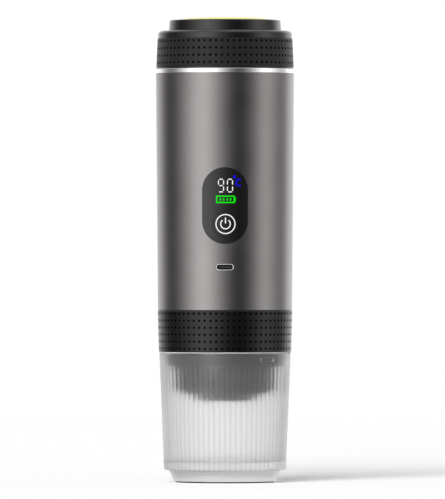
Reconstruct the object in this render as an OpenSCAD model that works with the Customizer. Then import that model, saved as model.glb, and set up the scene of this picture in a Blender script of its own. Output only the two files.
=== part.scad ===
// Portable capsule coffee maker, as an assembly of separate parts.
// Millimetres, +Z up, the control window faces -Y, the origin is the bottom centre of the cup.

/* [Cup] */
// Height of the cup from the table to its rim
cup_h = 65.6; // [60:0.1:76]
// Step in diameter from the brew head's foot in to the cup's rim
rim_step = 0.9; // [0.4:0.1:2]
// Draft of the cup, in diameter, from its rim down to the step over the foot
cup_draft = 4.4; // [2:0.1:7]
// Thickness of the cup's wall
cup_wall = 2.2; // [1.6:0.1:2.8]
// Thickness of the cup's floor above the foot
cup_floor = 4.2; // [2.5:0.1:6]
// Height of the foot
foot_h = 6.4; // [4:0.1:9]
// Step in diameter from the cup's side in to the top of its foot
foot_step = 5; // [4.4:0.1:8]
// Draft of the foot, in diameter, from its top down to the table
foot_draft = 4.8; // [1:0.1:8]
// Width of the ring that the foot stands on
foot_ring_w = 5; // [4:0.1:10]
// Number of ribs round the cup
rib_count = 72; // [48:1:90]
// Depth of the grooves between the ribs
rib_depth = 0.5; // [0.2:0.05:0.8]
// Height of the plain band under the rim
rim_band_h = 6.4; // [6:0.1:9]
// Length of the vent slot in the plain band
vent_w = 9.2; // [5:0.1:12]
// Height of the vent slot
vent_h = 2.6; // [1.6:0.1:3]
// Angle of the vent slot, from the front towards +X, in degrees
vent_angle = 40; // [20:1:60]

/* [Brew head] */
// Height of the brew collar that shows
head_h = 21.3; // [20:0.1:26]
// Flare in diameter from the body's foot out to the top of the brew grip band
head_flare = 0.3; // [0:0.05:1]
// Draft of the brew grip band, in diameter, from its top down to its foot
head_draft = 1.2; // [0.4:0.1:1.6]
// Wall of the brew collar behind the foot of its grip band
collar_wall = 2.75; // [2:0.05:3]
// Thickness of both grip bands
grip_t = 1.2; // [0.8:0.05:1.4]
// Height of the lips that trap the brew grip band
grip_lip = 0.7; // [0.5:0.05:1.2]
// Depth of the plug that enters the cup
plug_h = 6; // [5:0.1:6]
// Thickness of the ledge that carries the brew chamber
ledge_t = 4; // [3:0.1:4.6]
// Diameter of the brew chamber that hangs in the cup
chamber_d = 50; // [46:0.1:51]
// Height of the brew chamber below the collar
chamber_drop = 24.2; // [23.6:0.1:28]
// Wall thickness of the brew chamber
chamber_wall = 2; // [1.4:0.1:2.4]
// Diameter of the flat at the bottom of the brew chamber
chamber_flat_d = 26; // [20:0.5:30]
// Diameter of the coffee outlet
outlet_d = 5; // [3:0.1:7]
// Thickness of the flanges of the chamber and the basket
flange_t = 2.2; // [1.8:0.1:2.4]
// Mouth diameter of the capsule basket
capsule_mouth_d = 30.8; // [29.6:0.1:32]
// Diameter of the capsule basket at its floor
capsule_tip_d = 24; // [22:0.1:26]
// Depth of the capsule basket below the capsule's rim
capsule_depth = 26; // [24:0.1:26.4]
// Diameter of the seat for the capsule's rim
capsule_rim_d = 37.6; // [36:0.1:38]
// Wall thickness of the capsule basket
basket_wall = 1.6; // [1.2:0.1:2]

/* [Body] */
// Outer diameter of the body at its top
body_top_d = 70; // [69.6:0.1:74]
// Outer diameter of the body at its foot
body_low_d = 68; // [68:0.1:72]
// Height of the body tube
tube_h = 119.3; // [116:0.1:132]
// Wall thickness of the body tube
tube_wall = 1.2; // [0.8:0.1:1.4]
// Height of the polished ring over the tube
ring_h = 2.3; // [1.8:0.1:4]
// Thickness of the plate that closes the tube's foot
base_t = 3; // [2.5:0.1:4]
// Thickness of the rings that the gaskets are cut from
gasket_t = 2; // [1.6:0.1:2.4]
// Inner diameter of the brew gasket
gasket_in_d = 39; // [38.6:0.1:40]
// Outer diameter of the brew gasket
gasket_out_d = 46; // [44:0.1:48]
// Diameter of the upper needle plate
needle_plate_d = 32; // [30:0.1:34]

/* [Front panel] */
// Width of the control window
window_w = 23; // [20:0.1:25]
// Height of the control window
window_h = 38.6; // [36:0.1:42]
// Height of the window's centre over the tube's foot
window_up = 52.5; // [50:0.1:54]
// Thickness of the window's flange behind the tube's wall
window_flange_t = 1.2; // [0.8:0.1:1.4]
// Width of the window's flange behind the tube's wall
window_lip = 1.5; // [1:0.1:2]
// Diameter of the power button
button_d = 12.4; // [10:0.1:13]
// Drop from the window's centre to the button's centre
button_drop = 9.3; // [8.6:0.1:9.8]
// Travel of the power button
button_travel = 0.6; // [0.3:0.05:0.7]
// Width of the charging port's shell
usb_w = 8.94; // [8.9:0.01:9]
// Height of the charging port's shell
usb_h = 3.26; // [3.2:0.01:3.3]
// Height of the port's centre over the tube's foot
usb_up = 21.5; // [19:0.1:24]
// Distance from the window's back to the control board
board_gap = 7; // [6.4:0.1:7.4]
// Width of the control board
board_w = 38; // [35:0.5:39]

/* [Water tank] */
// Wall thickness of the water tank
tank_wall = 0.8; // [0.6:0.1:1]
// Height of the screw neck over the polished ring
neck_h = 13; // [11:0.1:13.4]
// Wall thickness of the neck collar
neck_wall = 1.4; // [1.2:0.1:1.6]
// Thickness of the tank's rolled rim
rim_t = 1; // [0.8:0.1:1.4]
// Height of the heater band
heater_h = 22; // [15:0.5:28]
// Thickness of the heater band
heater_t = 1.6; // [1:0.1:2]

/* [Lid] */
// Height of the lid's side, up to its shoulder
lid_h = 19.6; // [19.2:0.1:23]
// Step in diameter from the body's top in to the foot of the lid's grip band
lid_step = 0.3; // [0:0.05:1]
// Draft of the lid's grip band, in diameter, from its foot up to its top
lid_draft = 1.4; // [0.4:0.1:2]
// Wall of the lid behind the top of its grip band
lid_wall = 1.85; // [1.4:0.05:2.4]
// Height of the smooth shoulder over the grip band
shoulder_h = 4.3; // [3.6:0.1:4.6]
// Rounding of the shoulder
shoulder_r = 2.2; // [1.4:0.1:2.4]
// Width of the shoulder round the raised top
shoulder_w = 5.65; // [5.1:0.05:6.6]
// Height of the raised top
boss_h = 4.8; // [4.4:0.1:7]
// Width of the rim round the coloured disc
boss_rim = 4; // [3.5:0.1:6]
// Rise of the coloured disc over the raised top
disc_rise = 1.3; // [0.6:0.1:2]
// Depth of the seat that holds the coloured disc
disc_seat = 1.5; // [1.2:0.1:1.6]

/* [Battery] */
// Diameter of a battery cell
cell_d = 18.4; // [18:0.1:18.6]
// Length of a battery cell
cell_l = 65; // [64.5:0.1:65.5]
// Gap from a cell to the body tube
cell_margin = 2; // [1.6:0.1:2.2]
// Thickness of the straps that join the cells
strap_t = 0.4; // [0.2:0.05:0.6]
// Thickness of the frame's plates
plate_t = 2.5; // [2.3:0.1:3]

/* [Pump] */
// Diameter of the pump motor
motor_d = 24; // [21:0.1:24.2]
// Height of the pump motor's can
motor_h = 31; // [26:0.5:36]
// Module of the pump gears
gear_module = 0.8; // [0.7:0.01:0.84]
// Teeth on each pump gear
gear_teeth = 10; // [10:1:11]
// Width of the pump gears
gear_w = 6; // [4.5:0.1:6.5]
// Diameter of the drive shaft
shaft_d = 3; // [2.4:0.1:3.2]
// Wall thickness of the pump round its gears
pump_wall = 2.2; // [1.8:0.1:2.6]
// Outer diameter of the suction tube
hose_d = 5; // [4.4:0.1:5.2]

/* [Clearances] */
// Gap between sections that part
seat_gap = 0.3; // [0.2:0.05:0.5]
// Gap round parts that slide or turn past each other
run_gap = 0.3; // [0.25:0.05:0.4]
// Gap round parts that are fixed in a seat
fit_gap = 0.1; // [0.05:0.01:0.15]
// Gap that holds the screw threads
thread_gap = 1.2; // [1:0.05:1.3]
// Running gap round a shaft
shaft_gap = 0.05; // [0.03:0.01:0.08]

/* [Hidden] */
$fn = 96;
eps = 0.02;

// Diameters, from the body's foot down to the table.
head_top_d = body_low_d + head_flare;
head_low_d = head_top_d - head_draft;
cup_rim_d = head_low_d - rim_step;
cup_step_d = cup_rim_d - cup_draft;
foot_top_d = cup_step_d - foot_step;
foot_d = foot_top_d - foot_draft;
foot_recess_d = foot_d - 2 * foot_ring_w;
spigot_d = head_low_d - 2 * (grip_t + collar_wall + thread_gap);

// Diameters, from the body's top up to the coloured disc and in to the tank.
lid_low_d = body_top_d - lid_step;
lid_top_d = lid_low_d - lid_draft;
boss_d = lid_top_d - 2 * shoulder_w;
disc_d = boss_d - 2 * boss_rim;
skirt_r = lid_top_d / 2 - grip_t - lid_wall;
collar_r = skirt_r - thread_gap;
collar_in_r = collar_r - neck_wall;
tank_d = 2 * (collar_in_r - fit_gap);

// Levels, from the table up.
z_floor = foot_h + cup_floor;
z_rib = cup_h - rim_band_h;
z_head0 = cup_h + seat_gap;
z_head1 = z_head0 + head_h;
z_tube0 = z_head1 + seat_gap;
z_tube1 = z_tube0 + tube_h;
z_ring1 = z_tube1 + ring_h;
z_lid0 = z_ring1 + seat_gap;
z_lid1 = z_lid0 + lid_h;
z_boss1 = z_lid1 + boss_h;
z_disc1 = z_boss1 + disc_rise;

// Cup and brew head.
plug_r = cup_in(cup_h - plug_h) - run_gap;
ledge_r = chamber_d / 2 + fit_gap;
z_ledge = z_head0 + ledge_t;
z_chamber0 = z_head0 - chamber_drop;
z_chamber1 = z_ledge + flange_t;
z_basket1 = z_chamber1 + flange_t;
rim_seat = 1;
z_capsule0 = z_basket1 - rim_seat - capsule_depth;
basket_floor = 1.4;
collar_bore_r = spigot_d / 2 + thread_gap;
flange_r = collar_bore_r - fit_gap;
z_gasket0 = z_basket1 + seat_gap;
gasket_show = 0.5;
z_spigot0 = z_gasket0 + gasket_show;
needle_sheet = 1.6;
needle_r = 1.1;
needle_tip_r = 0.15;
lower_plate_r = capsule_tip_d / 2 - 1.5;
lower_plate_t = 1;
lower_needle_l = 4;
lower_needle_ring = 5;
drain_r = 0.7;
drain_ring = 2.4;
upper_needle_l = 3.5;
upper_needle_ring = 8;
spray_r = 0.6;
spray_ring = 4.4;
seal_h = 2;
seal_groove = 1.2;

// Body.
z_base1 = z_tube0 + base_t;
z_frame1 = z_base1 + plate_t;
z_cell0 = z_frame1 + strap_t;
z_cell1 = z_cell0 + cell_l;
z_top0 = z_cell1 + strap_t;
z_top1 = z_top0 + plate_t;
z_neck1 = z_ring1 + neck_h - rim_t;
z_rim1 = z_neck1 + rim_t;
ring_seat = 1.2;
collar_flange = 1.8;
collar_flange_r = collar_r + collar_flange;
tank_rim_r = collar_r - run_gap;
tank_bend = 3;
ring_plug = 4;
base_r = tube_in(z_tube0) - fit_gap;
frame_gap = 0.5;
frame_r = min(tube_in(z_base1), tube_in(z_top1)) - frame_gap;

// Front panel.
z_window = z_tube0 + window_up;
z_button = z_window - button_drop;
z_usb = z_tube0 + usb_up;
window_back_r = tube_in(z_window) - window_flange_t;
board_y = window_back_r - board_gap;
board_t = 1.6;
board_below = 9;
z_board0 = z_usb - board_below;
button_hole_r = button_d / 2 + run_gap;
button_flange_r = button_d / 2 + 1;
button_flange_t = 1;
button_back = reach(window_back_r, button_flange_r) - 0.2 - button_flange_t;
switch_h = button_back - button_travel - 0.4 - board_y;
plunger_r = 1.7;
plunger_l = 2.2;
display_w = 17;
display_h = 16;
display_t = reach(window_back_r, display_w / 2) - 0.3 - board_y;
display_up = 6.4;
z_display = z_window + display_up;
board_edge = 2.6;
board_h = z_display + display_h / 2 + board_edge - z_board0;
board_screw_low = 4;
board_screw_high = 8;
board_screw_head = 3.4;
board_screw_cap = 1.2;
board_screw_d = 1.5;
board_screw_l = 5;
chip_w = 9;
chip_t = 1.2;
chip_up = 34;
coil_w = 10;
coil_t = 3.6;
coil_up = 18;
socket_w = 8;
socket_h = 6;
socket_t = 5;
socket_up = 2;
capacitor_d = 5;
capacitor_l = 5.4;
capacitor_x = 8.5;
capacitor_up = 23;
switch_w = 6;
usb_front = reach(tube_r(z_usb), usb_w / 2);
usb_skin = 0.3;
usb_wall = 1.6;
usb_tongue_w = 6.7;
usb_tongue_t = 0.7;

// Battery and pump.
cell_ring = min(tube_in(z_cell0), tube_in(z_cell1)) - cell_d / 2 - cell_margin;
cell_angles = [-5, 90, 185];
cell_cup_t = 1;
cell_cup_h = 4;
cell_bead = 0.6;
cell_tip_r = 3.4;
cell_tip_h = 1.6;
strap_w = 4;
pitch_r = gear_module * gear_teeth / 2;
tip_r = pitch_r + 0.85 * gear_module;
root_r = pitch_r - 1.15 * gear_module;
press_angle = 28;
tooth_play = 0.06;
motor_y = -pitch_r;
cover_t = 2;
pump_head = 5;
z_gear0 = z_frame1 + cover_t;
gear_room = gear_w + 2 * shaft_gap;
z_pump1 = z_gear0 + gear_room + pump_head;
z_motor1 = z_pump1 + motor_h;
cavity_r = tip_r + shaft_gap;
hose_gap = 0.4;
hose_angle = 112;
hose_reach = motor_d / 2 + hose_d / 2 + hose_gap;
hose_x = hose_reach * cos(hose_angle);
hose_y = motor_y + hose_reach * sin(hose_angle);
hose_bore_r = 1.4;
barb_r = hose_bore_r - fit_gap / 2;
barb_hole_r = 0.8;
pump_barb_l = 8;
nipple_r = 3;
nipple_x = pitch_r;
nipple_bore_r = 1.2;
nipple_up = 3;
port_r = 1.4;
oring_groove = 1;
oring_groove_h = 1.6;
oring_up = 2;
pump_boss_r = 2.4;
pump_screw_x = 6.6;
pump_screw_y = 7.2;
pump_screw_side_x = 7.6;
pump_screw_side_y = 4.2;
pump_screw_head = 3.6;
pump_screw_cap = 1.4;
pump_screw_d = 1.7;
pump_screw_sink = 1.8;
pump_screw_spots = [[pump_screw_x, -pump_screw_y], [-pump_screw_x, -pump_screw_y],
    [pump_screw_x, pump_screw_y], [-pump_screw_side_x, pump_screw_side_y]];
suction_boss_w = 6;
suction_boss_l = 8;
suction_boss_up = 1.5;
seal_seat = 2.5;
seal_w = 2;
motor_bevel = 1;
motor_shaft_l = 16;
end_cap_step = 1.6;
end_cap_h = 2.4;
end_bearing_d = 8;
end_bearing_h = 1.4;
tag_x = 7;
tag_w = 3;
tag_t = 0.8;
tag_h = 4;
post_r = 3;
post_x = 20.5;
post_y = 17;
post_spots = [[post_x, post_y], [-post_x, post_y]];
frame_screw_head = 4;
frame_screw_cap = 1.4;
frame_screw_d = 1.7;
frame_screw_l = 4.8;
frame_screw_reach = 4;
pillar_x = 15;
pillar = 6;
probe_x = 11;
probe_y = -9;
probe_r = 1.8;
probe_flange_r = 4;
probe_flange_t = 1;
probe_l = 7;
probe_tail = 3;
fitting_flange_r = 5;
fitting_flange_t = 1;
fitting_r = 3;
fitting_barb_l = 11;
hose_top_gap = 3;
hose_foot_gap = 1;
nut_r = 5.4;
nut_h = 2;
strainer_r = 4.4;
strainer_h = 2.6;
strainer_bend = 1;
strainer_wall = 0.8;
strainer_slot_x = 2;
strainer_slot_w = 0.6;
strainer_slot_l = 4.4;
heater_up = 5;
heater_lug_x = 3.6;
heater_lug_w = 2;
heater_lug_h = 8;
heater_lug_out = 2;
heater_split = 4;
base_screw_angles = [52, 128, 270];
base_screw_in = 5;
base_screw_ring = frame_r - base_screw_in;
base_screw_head = 4.4;
base_screw_cap = 1.6;
base_screw_d = 2.4;
base_screw_hole_r = 1.3;
base_screw_skin = 0.6;

// Lid.
z_seal0 = z_rim1 + seat_gap;
z_liner0 = z_seal0 + gasket_t;
liner_t = 1.6;
z_liner1 = z_liner0 + liner_t;
liner_r = skirt_r - fit_gap;
liner_plug_gap = 1;
liner_plug_r = tank_d / 2 - tank_wall - liner_plug_gap;
liner_plug_h = 5;
liner_plug_wall = 1.6;
valve_r = 1.25;
valve_flap_r = 4;
valve_flap_t = 0.75;
valve_vent_ring = 2.6;
valve_vent_r = 0.5;
valve_tail_r = 1.9;
valve_tail_h = 1.15;
z_grip1 = z_lid1 - shoulder_h;
shoulder_out_r = lid_top_d / 2 - 0.15;

// A value part of the way from a to b.
function mix(a, b, t) = a + (b - a) * t;

// Distance to a round wall of radius r, measured at x to the side of its middle.
function reach(r, x) = sqrt(r * r - x * x);

// Outer and inner radius of the cup at height z.
function cup_r(z) = mix(cup_step_d, cup_rim_d, (z - foot_h) / (cup_h - foot_h)) / 2;
function cup_in(z) = cup_r(z) - cup_wall;

// Outer and inner radius of the body tube at height z.
function tube_r(z) = mix(body_low_d, body_top_d, (z - z_tube0) / tube_h) / 2;
function tube_in(z) = tube_r(z) - tube_wall;

// Outer radius of the two grip bands at height z.
function head_r(z) = mix(head_low_d, head_top_d, (z - z_head0) / head_h) / 2;
function lid_r(z) = mix(lid_low_d, lid_top_d, (z - z_lid0) / (z_grip1 - z_lid0)) / 2;

// Points on an arc, for rounded edges of a turned profile.
function arc(x, y, r, a0, a1, steps = 6) =
    [for (i = [0:steps]) let (a = mix(a0, a1, i / steps)) [x + r * cos(a), y + r * sin(a)]];

// Outline of the ribbed cup: four points a rib, from groove to crest.
function rib_outline(r) =
    [for (i = [0:4 * rib_count - 1])
        let (a = 90 * i / rib_count, wave = [0, 0.7, 1, 0.7][i % 4])
        [(r - rib_depth * (1 - wave)) * cos(a), (r - rib_depth * (1 - wave)) * sin(a)]];

// Polar angle of an involute flank at radius r, in degrees.
function involute(r) =
    let (base = pitch_r * cos(press_angle), t = sqrt(max(0, r * r / base / base - 1)))
    t * 180 / PI - atan(t);

// Half the angle that a tooth takes at radius r, in degrees.
function tooth_half(r) =
    90 / gear_teeth + involute(pitch_r) - involute(r) - tooth_play / 2 / pitch_r * 180 / PI;

// Outline of a pump gear with a tooth on +X.
function gear_outline() =
    let (radii = [for (i = [0:5]) mix(pitch_r * cos(press_angle), tip_r, i / 5)])
    [for (k = [0:gear_teeth - 1]) let (a = 360 * k / gear_teeth) each concat(
        [polar(root_r, a - tooth_half(radii[0]) - 1.5)],
        [for (r = radii) polar(r, a - tooth_half(r))],
        [for (i = [0:5]) polar(radii[5 - i], a + tooth_half(radii[5 - i]))],
        [polar(root_r, a + tooth_half(radii[0]) + 1.5)])];

function polar(r, a) = [r * cos(a), r * sin(a)];

// A plain ring.
module ring(r_out, r_in, h) {
    difference() {
        cylinder(r = r_out, h = h);
        translate([0, 0, -1]) cylinder(r = r_in, h = h + 2);
    }
}

// A flat shape with round ends, upright if it is taller than wide.
module stadium(w, h) {
    long = abs(w - h) / 2;
    side = w > h ? [long, 0] : [0, long];
    short = min(w, h);
    square(w > h ? [2 * long, short] : [short, 2 * long], center = true);
    translate(side) circle(d = short);
    translate(-side) circle(d = short);
}

// A prism through the front, from y0 out to y1 in front of the axis, at height z.
module front_prism(z, y0, y1) {
    translate([0, -y0, z]) rotate([90, 0, 0]) linear_extrude(y1 - y0) children();
}

// A layer of the body's front, between two depths under its outer face.
module front_layer(depth0, depth1) {
    z0 = z_window - window_h;
    z1 = z_window + window_h;
    rotate_extrude() polygon([[tube_r(z0) - depth1, z0], [tube_r(z0) - depth0, z0],
        [tube_r(z1) - depth0, z1], [tube_r(z1) - depth1, z1]]);
}

// A screw with its head up, whose shank ends at z = 0.
module screw(head_d, head_h, shank_d, shank_h) {
    cylinder(d = shank_d, h = shank_h + eps);
    translate([0, 0, shank_h]) difference() {
        cylinder(d = head_d, h = head_h);
        translate([0, 0, head_h * 0.4]) cylinder(d = head_d * 0.5, h = head_h, $fn = 6);
    }
}

// Cup.
module cup() {
    color([0.9, 0.92, 0.93, 0.35]) difference() {
        union() {
            rotate_extrude() polygon([[0, 0], [foot_d / 2 - 0.6, 0], [foot_d / 2, 0.6],
                [foot_top_d / 2, foot_h], [foot_top_d / 2, foot_h + 1], [0, foot_h + 1]]);
            translate([0, 0, foot_h])
                linear_extrude(z_rib - foot_h, scale = cup_r(z_rib) / cup_r(foot_h))
                polygon(rib_outline(cup_r(foot_h) - 0.05));
            rotate_extrude() polygon(concat(
                [[0, z_rib - 0.5], [cup_r(z_rib) - rib_depth - 0.5, z_rib - 0.5],
                [cup_r(z_rib) - rib_depth - 0.5, z_rib], [cup_r(z_rib), z_rib]],
                arc(cup_r(cup_h) - 0.6, cup_h - 0.6, 0.6, 0, 90, 4), [[0, cup_h]]));
        }
        rotate_extrude() polygon(concat(
            arc(cup_in(z_floor + 2) - 2, z_floor + 2, 2, 0, -90, 5),
            [[0, z_floor], [0, cup_h + 1], [cup_in(cup_h) + 0.4, cup_h + 1],
            [cup_in(cup_h) + 0.4, cup_h], [cup_in(cup_h), cup_h - 0.5]]));
        translate([0, 0, -1]) cylinder(d = foot_recess_d, h = 1.8);
        rotate([0, 0, vent_angle])
            front_prism(z_rib + rim_band_h / 2 + 0.1, cup_in(cup_h) - 4, cup_r(cup_h) + 2)
            stadium(vent_w, vent_h);
    }
}

// Brew head.
module brew_collar() {
    color("#26272a") rotate_extrude() difference() {
        polygon([[0, z_head0 - plug_h], [plug_r - 0.6, z_head0 - plug_h],
            [plug_r, z_head0 - plug_h + 0.6],
            [plug_r, z_head0 - plug_h / 2 - seal_h / 2 - fit_gap],
            [plug_r - seal_groove, z_head0 - plug_h / 2 - seal_h / 2 - fit_gap],
            [plug_r - seal_groove, z_head0 - plug_h / 2 + seal_h / 2 + fit_gap],
            [plug_r, z_head0 - plug_h / 2 + seal_h / 2 + fit_gap],
            [plug_r, z_head0], [head_r(z_head0) - 0.3, z_head0],
            [head_r(z_head0), z_head0 + 0.3],
            [head_r(z_head0 + grip_lip), z_head0 + grip_lip],
            [head_r(z_head0 + grip_lip) - grip_t, z_head0 + grip_lip],
            [head_r(z_head1 - grip_lip) - grip_t, z_head1 - grip_lip],
            [head_r(z_head1 - grip_lip), z_head1 - grip_lip],
            [head_r(z_head1), z_head1 - 0.3], [head_r(z_head1) - 0.3, z_head1], [0, z_head1]]);
        translate([0, z_head0 - plug_h - 1]) square([ledge_r, plug_h + ledge_t + 2]);
        translate([0, z_ledge]) square([collar_bore_r, head_h]);
    }
}

module brew_grip_band() {
    z0 = z_head0 + grip_lip + fit_gap;
    z1 = z_head1 - grip_lip - fit_gap;
    color("#2c2d30") rotate_extrude() polygon([
        [head_r(z0) - grip_t + fit_gap, z0], [head_r(z0) - 0.25, z0], [head_r(z0), z0 + 0.25],
        [head_r(z1), z1 - 0.25], [head_r(z1) - 0.25, z1], [head_r(z1) - grip_t + fit_gap, z1]]);
}

module brew_chamber() {
    r = chamber_d / 2;
    flat_r = chamber_flat_d / 2;
    knee = z_chamber0 + 4.2;
    color("#4a4b4e") rotate_extrude() difference() {
        polygon([[0, z_chamber0], [flat_r, z_chamber0], [flat_r + (r - flat_r) * 0.8, z_chamber0 + 1.6],
            [r - 0.7, knee - 1.4], [r - 0.3, knee], [r, z_head0], [r, z_ledge],
            [flange_r, z_ledge], [flange_r, z_chamber1], [0, z_chamber1]]);
        polygon([[0, z_chamber0 + chamber_wall], [flat_r, z_chamber0 + chamber_wall],
            [r - chamber_wall - 1.2, knee + 0.6], [r - chamber_wall - 0.3, knee + 2],
            [r - chamber_wall, z_head0], [r - chamber_wall, z_chamber1 + 1], [0, z_chamber1 + 1]]);
        translate([0, z_chamber0 - 1]) square([outlet_d / 2, chamber_wall + 2]);
    }
}

module capsule_basket() {
    mouth_r = capsule_mouth_d / 2;
    floor_r = capsule_tip_d / 2;
    seat = z_basket1 - rim_seat;
    color("#3a3b3e") rotate_extrude() difference() {
        polygon([[0, z_capsule0 - basket_floor], [floor_r + basket_wall, z_capsule0 - basket_floor],
            [mouth_r + basket_wall, z_chamber1], [flange_r, z_chamber1],
            [flange_r, z_basket1 - 0.3], [flange_r - 0.3, z_basket1], [0, z_basket1]]);
        polygon([[0, z_capsule0], [floor_r, z_capsule0], [mouth_r, seat],
            [capsule_rim_d / 2, seat], [capsule_rim_d / 2, z_basket1 + 1], [0, z_basket1 + 1]]);
        translate([0, z_capsule0 - basket_floor - 1]) square([lower_plate_r - 1.8, basket_floor + 2]);
    }
}

module lower_needle_plate() {
    color("#b9bcc0") difference() {
        union() {
            translate([0, 0, z_capsule0]) cylinder(r = lower_plate_r, h = lower_plate_t);
            for (a = [90, 210, 330]) rotate([0, 0, a])
                translate([lower_needle_ring, 0, z_capsule0 + lower_plate_t - eps])
                cylinder(r1 = needle_r, r2 = needle_tip_r, h = lower_needle_l);
        }
        for (a = [0:60:300]) rotate([0, 0, a + 30]) translate([drain_ring, 0, z_capsule0 - 1])
            cylinder(r = drain_r, h = lower_plate_t + 3);
    }
}

module cup_seal() {
    color("#6d6f72") translate([0, 0, z_head0 - plug_h / 2 - seal_h / 2])
        ring(plug_r + fit_gap, plug_r - seal_groove + fit_gap, seal_h);
}

// Brew gasket.
module brew_gasket() {
    color("#8b2d22") translate([0, 0, z_gasket0])
        ring(gasket_out_d / 2, gasket_in_d / 2, gasket_t);
}

// Housing.
module body_tube() {
    color("#77736f") difference() {
        rotate_extrude() polygon([[tube_in(z_tube0), z_tube0], [tube_r(z_tube0) - 0.3, z_tube0],
            [tube_r(z_tube0), z_tube0 + 0.3], [tube_r(z_tube1), z_tube1 - 0.3],
            [tube_r(z_tube1) - 0.3, z_tube1], [tube_in(z_tube1), z_tube1]]);
        front_prism(z_window, window_back_r - 4, body_top_d) stadium(window_w, window_h);
        front_prism(z_usb, window_back_r - 4, body_top_d)
            stadium(usb_w + 2 * fit_gap, usb_h + 2 * fit_gap);
    }
}

module brew_base() {
    groove = z_gasket0 + gasket_t;
    color("#232427") difference() {
        rotate_extrude() polygon([[0, z_spigot0], [spigot_d / 2 - 0.5, z_spigot0],
            [spigot_d / 2, z_spigot0 + 0.5], [spigot_d / 2, z_tube0], [base_r, z_tube0],
            [base_r, z_base1], [0, z_base1]]);
        translate([0, 0, z_spigot0 - 1]) ring(gasket_out_d / 2 + run_gap, gasket_in_d / 2 - run_gap,
            groove - z_spigot0 + 1);
        translate([0, 0, z_spigot0 - 1]) cylinder(r = needle_plate_d / 2 + fit_gap, h = 1 + needle_sheet);
        translate([0, 0, z_spigot0]) cylinder(r = needle_plate_d / 2 - 4, h = needle_sheet + 1.2);
        translate([nipple_x, 0, z_spigot0]) cylinder(r = nipple_r + fit_gap, h = 30);
        translate([0, 0, groove + 2.5]) ring(spigot_d / 2 - 3, nipple_x + nipple_r + 3, 30);
        for (a = base_screw_angles) rotate([0, 0, a]) translate([base_screw_ring, 0, z_tube0 + 0.4])
            cylinder(r = base_screw_hole_r, h = base_t);
    }
}

module upper_needle_plate() {
    color("#b9bcc0") difference() {
        union() {
            translate([0, 0, z_spigot0]) cylinder(d = needle_plate_d, h = needle_sheet);
            for (a = [18:72:306]) rotate([0, 0, a])
                translate([upper_needle_ring, 0, z_spigot0 - upper_needle_l])
                cylinder(r1 = needle_tip_r, r2 = needle_r, h = upper_needle_l + eps);
        }
        for (a = [0:60:300]) rotate([0, 0, a]) translate([spray_ring, 0, z_spigot0 - 1])
            cylinder(r = spray_r, h = needle_sheet + 2);
    }
}

// Where the cells stand.
module at_cell(i) {
    rotate([0, 0, cell_angles[i]]) translate([cell_ring, 0, 0]) children();
}

module inner_frame() {
    color("#d9d7d0") difference() {
        union() {
            translate([0, 0, z_base1]) cylinder(r = frame_r, h = plate_t);
            for (i = [0:2]) at_cell(i) translate([0, 0, z_frame1 - eps])
                ring(cell_d / 2 + fit_gap + cell_cup_t, cell_d / 2 + fit_gap, cell_cup_h);
            for (p = post_spots) translate([p[0], p[1], z_frame1 - eps])
                cylinder(r = post_r, h = z_top0 - z_frame1 + eps);
            for (s = [-1, 1]) translate([s * pillar_x - pillar / 2, -board_y + board_t, z_frame1 - eps])
                cube([pillar, pillar, z_top0 - z_frame1 + eps]);
        }
        translate([nipple_x, 0, z_base1 - 1]) cylinder(r = nipple_r + fit_gap, h = plate_t + 2);
        translate([0, 0, z_frame1]) strap(0, 1, strap_w + 2 * run_gap, cell_cup_h + 1);
        translate([0, 0, z_frame1]) linear_extrude(cell_cup_h + 1) pump_outline(run_gap);
        for (p = frame_screw_spots()) translate([p[0], p[1], z_top0 - 5]) cylinder(r = 0.9, h = 6);
        for (a = base_screw_angles) rotate([0, 0, a]) translate([base_screw_ring, 0, z_base1 - 1])
            cylinder(r = base_screw_hole_r, h = plate_t + 2);
        for (p = board_screw_spots()) translate([p[0], -board_y - 0.01, p[1]]) rotate([-90, 0, 0])
            cylinder(r = 0.8, h = 6);
    }
}

// Where screws hold the frame's top plate, and where they hold the board.
function frame_screw_spots() = concat(post_spots,
    [for (s = [-1, 1]) [s * pillar_x, -board_y + board_t + pillar / 2]]);
function board_screw_spots() =
    [for (s = [-1, 1], up = [board_screw_low, board_h - board_screw_high])
        [s * pillar_x, z_board0 + up]];

module frame_top_plate() {
    color("#d9d7d0") difference() {
        translate([0, 0, z_top0]) cylinder(r = frame_r, h = plate_t);
        translate([hose_x, hose_y, z_top0 - 1]) cylinder(r = 6.4, h = plate_t + 2);
        translate([probe_x, probe_y, z_top0 - 1]) cylinder(r = 2.6, h = plate_t + 2);
        translate([-frame_r, -frame_r - window_back_r + 1, z_top0 - 1])
            cube([2 * frame_r, frame_r, plate_t + 2]);
        for (p = frame_screw_spots()) translate([p[0], p[1], z_top0 - 1]) {
            cylinder(r = 1.2, h = plate_t + 2);
            translate([0, 0, 1.8]) cylinder(r = 2.3, h = plate_t);
        }
    }
}

module frame_screws() {
    color("#8d9093") for (p = frame_screw_spots())
        translate([p[0], p[1], z_top0 - frame_screw_reach])
        screw(frame_screw_head, frame_screw_cap, frame_screw_d, frame_screw_l);
}

module base_screws() {
    color("#8d9093") for (a = base_screw_angles) rotate([0, 0, a])
        translate([base_screw_ring, 0, z_tube0 + base_screw_skin])
        screw(base_screw_head, base_screw_cap, base_screw_d, z_frame1 - z_tube0 - base_screw_skin);
}

module battery_cell(i) {
    color("#3f6f9f") at_cell(i) rotate_extrude() polygon([[0, z_cell0],
        [cell_d / 2 - cell_bead, z_cell0], [cell_d / 2, z_cell0 + cell_bead],
        [cell_d / 2, z_cell1 - cell_tip_h - cell_bead],
        [cell_d / 2 - cell_bead, z_cell1 - cell_tip_h], [cell_tip_r, z_cell1 - cell_tip_h],
        [cell_tip_r - 0.2, z_cell1], [0, z_cell1]]);
}

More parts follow.
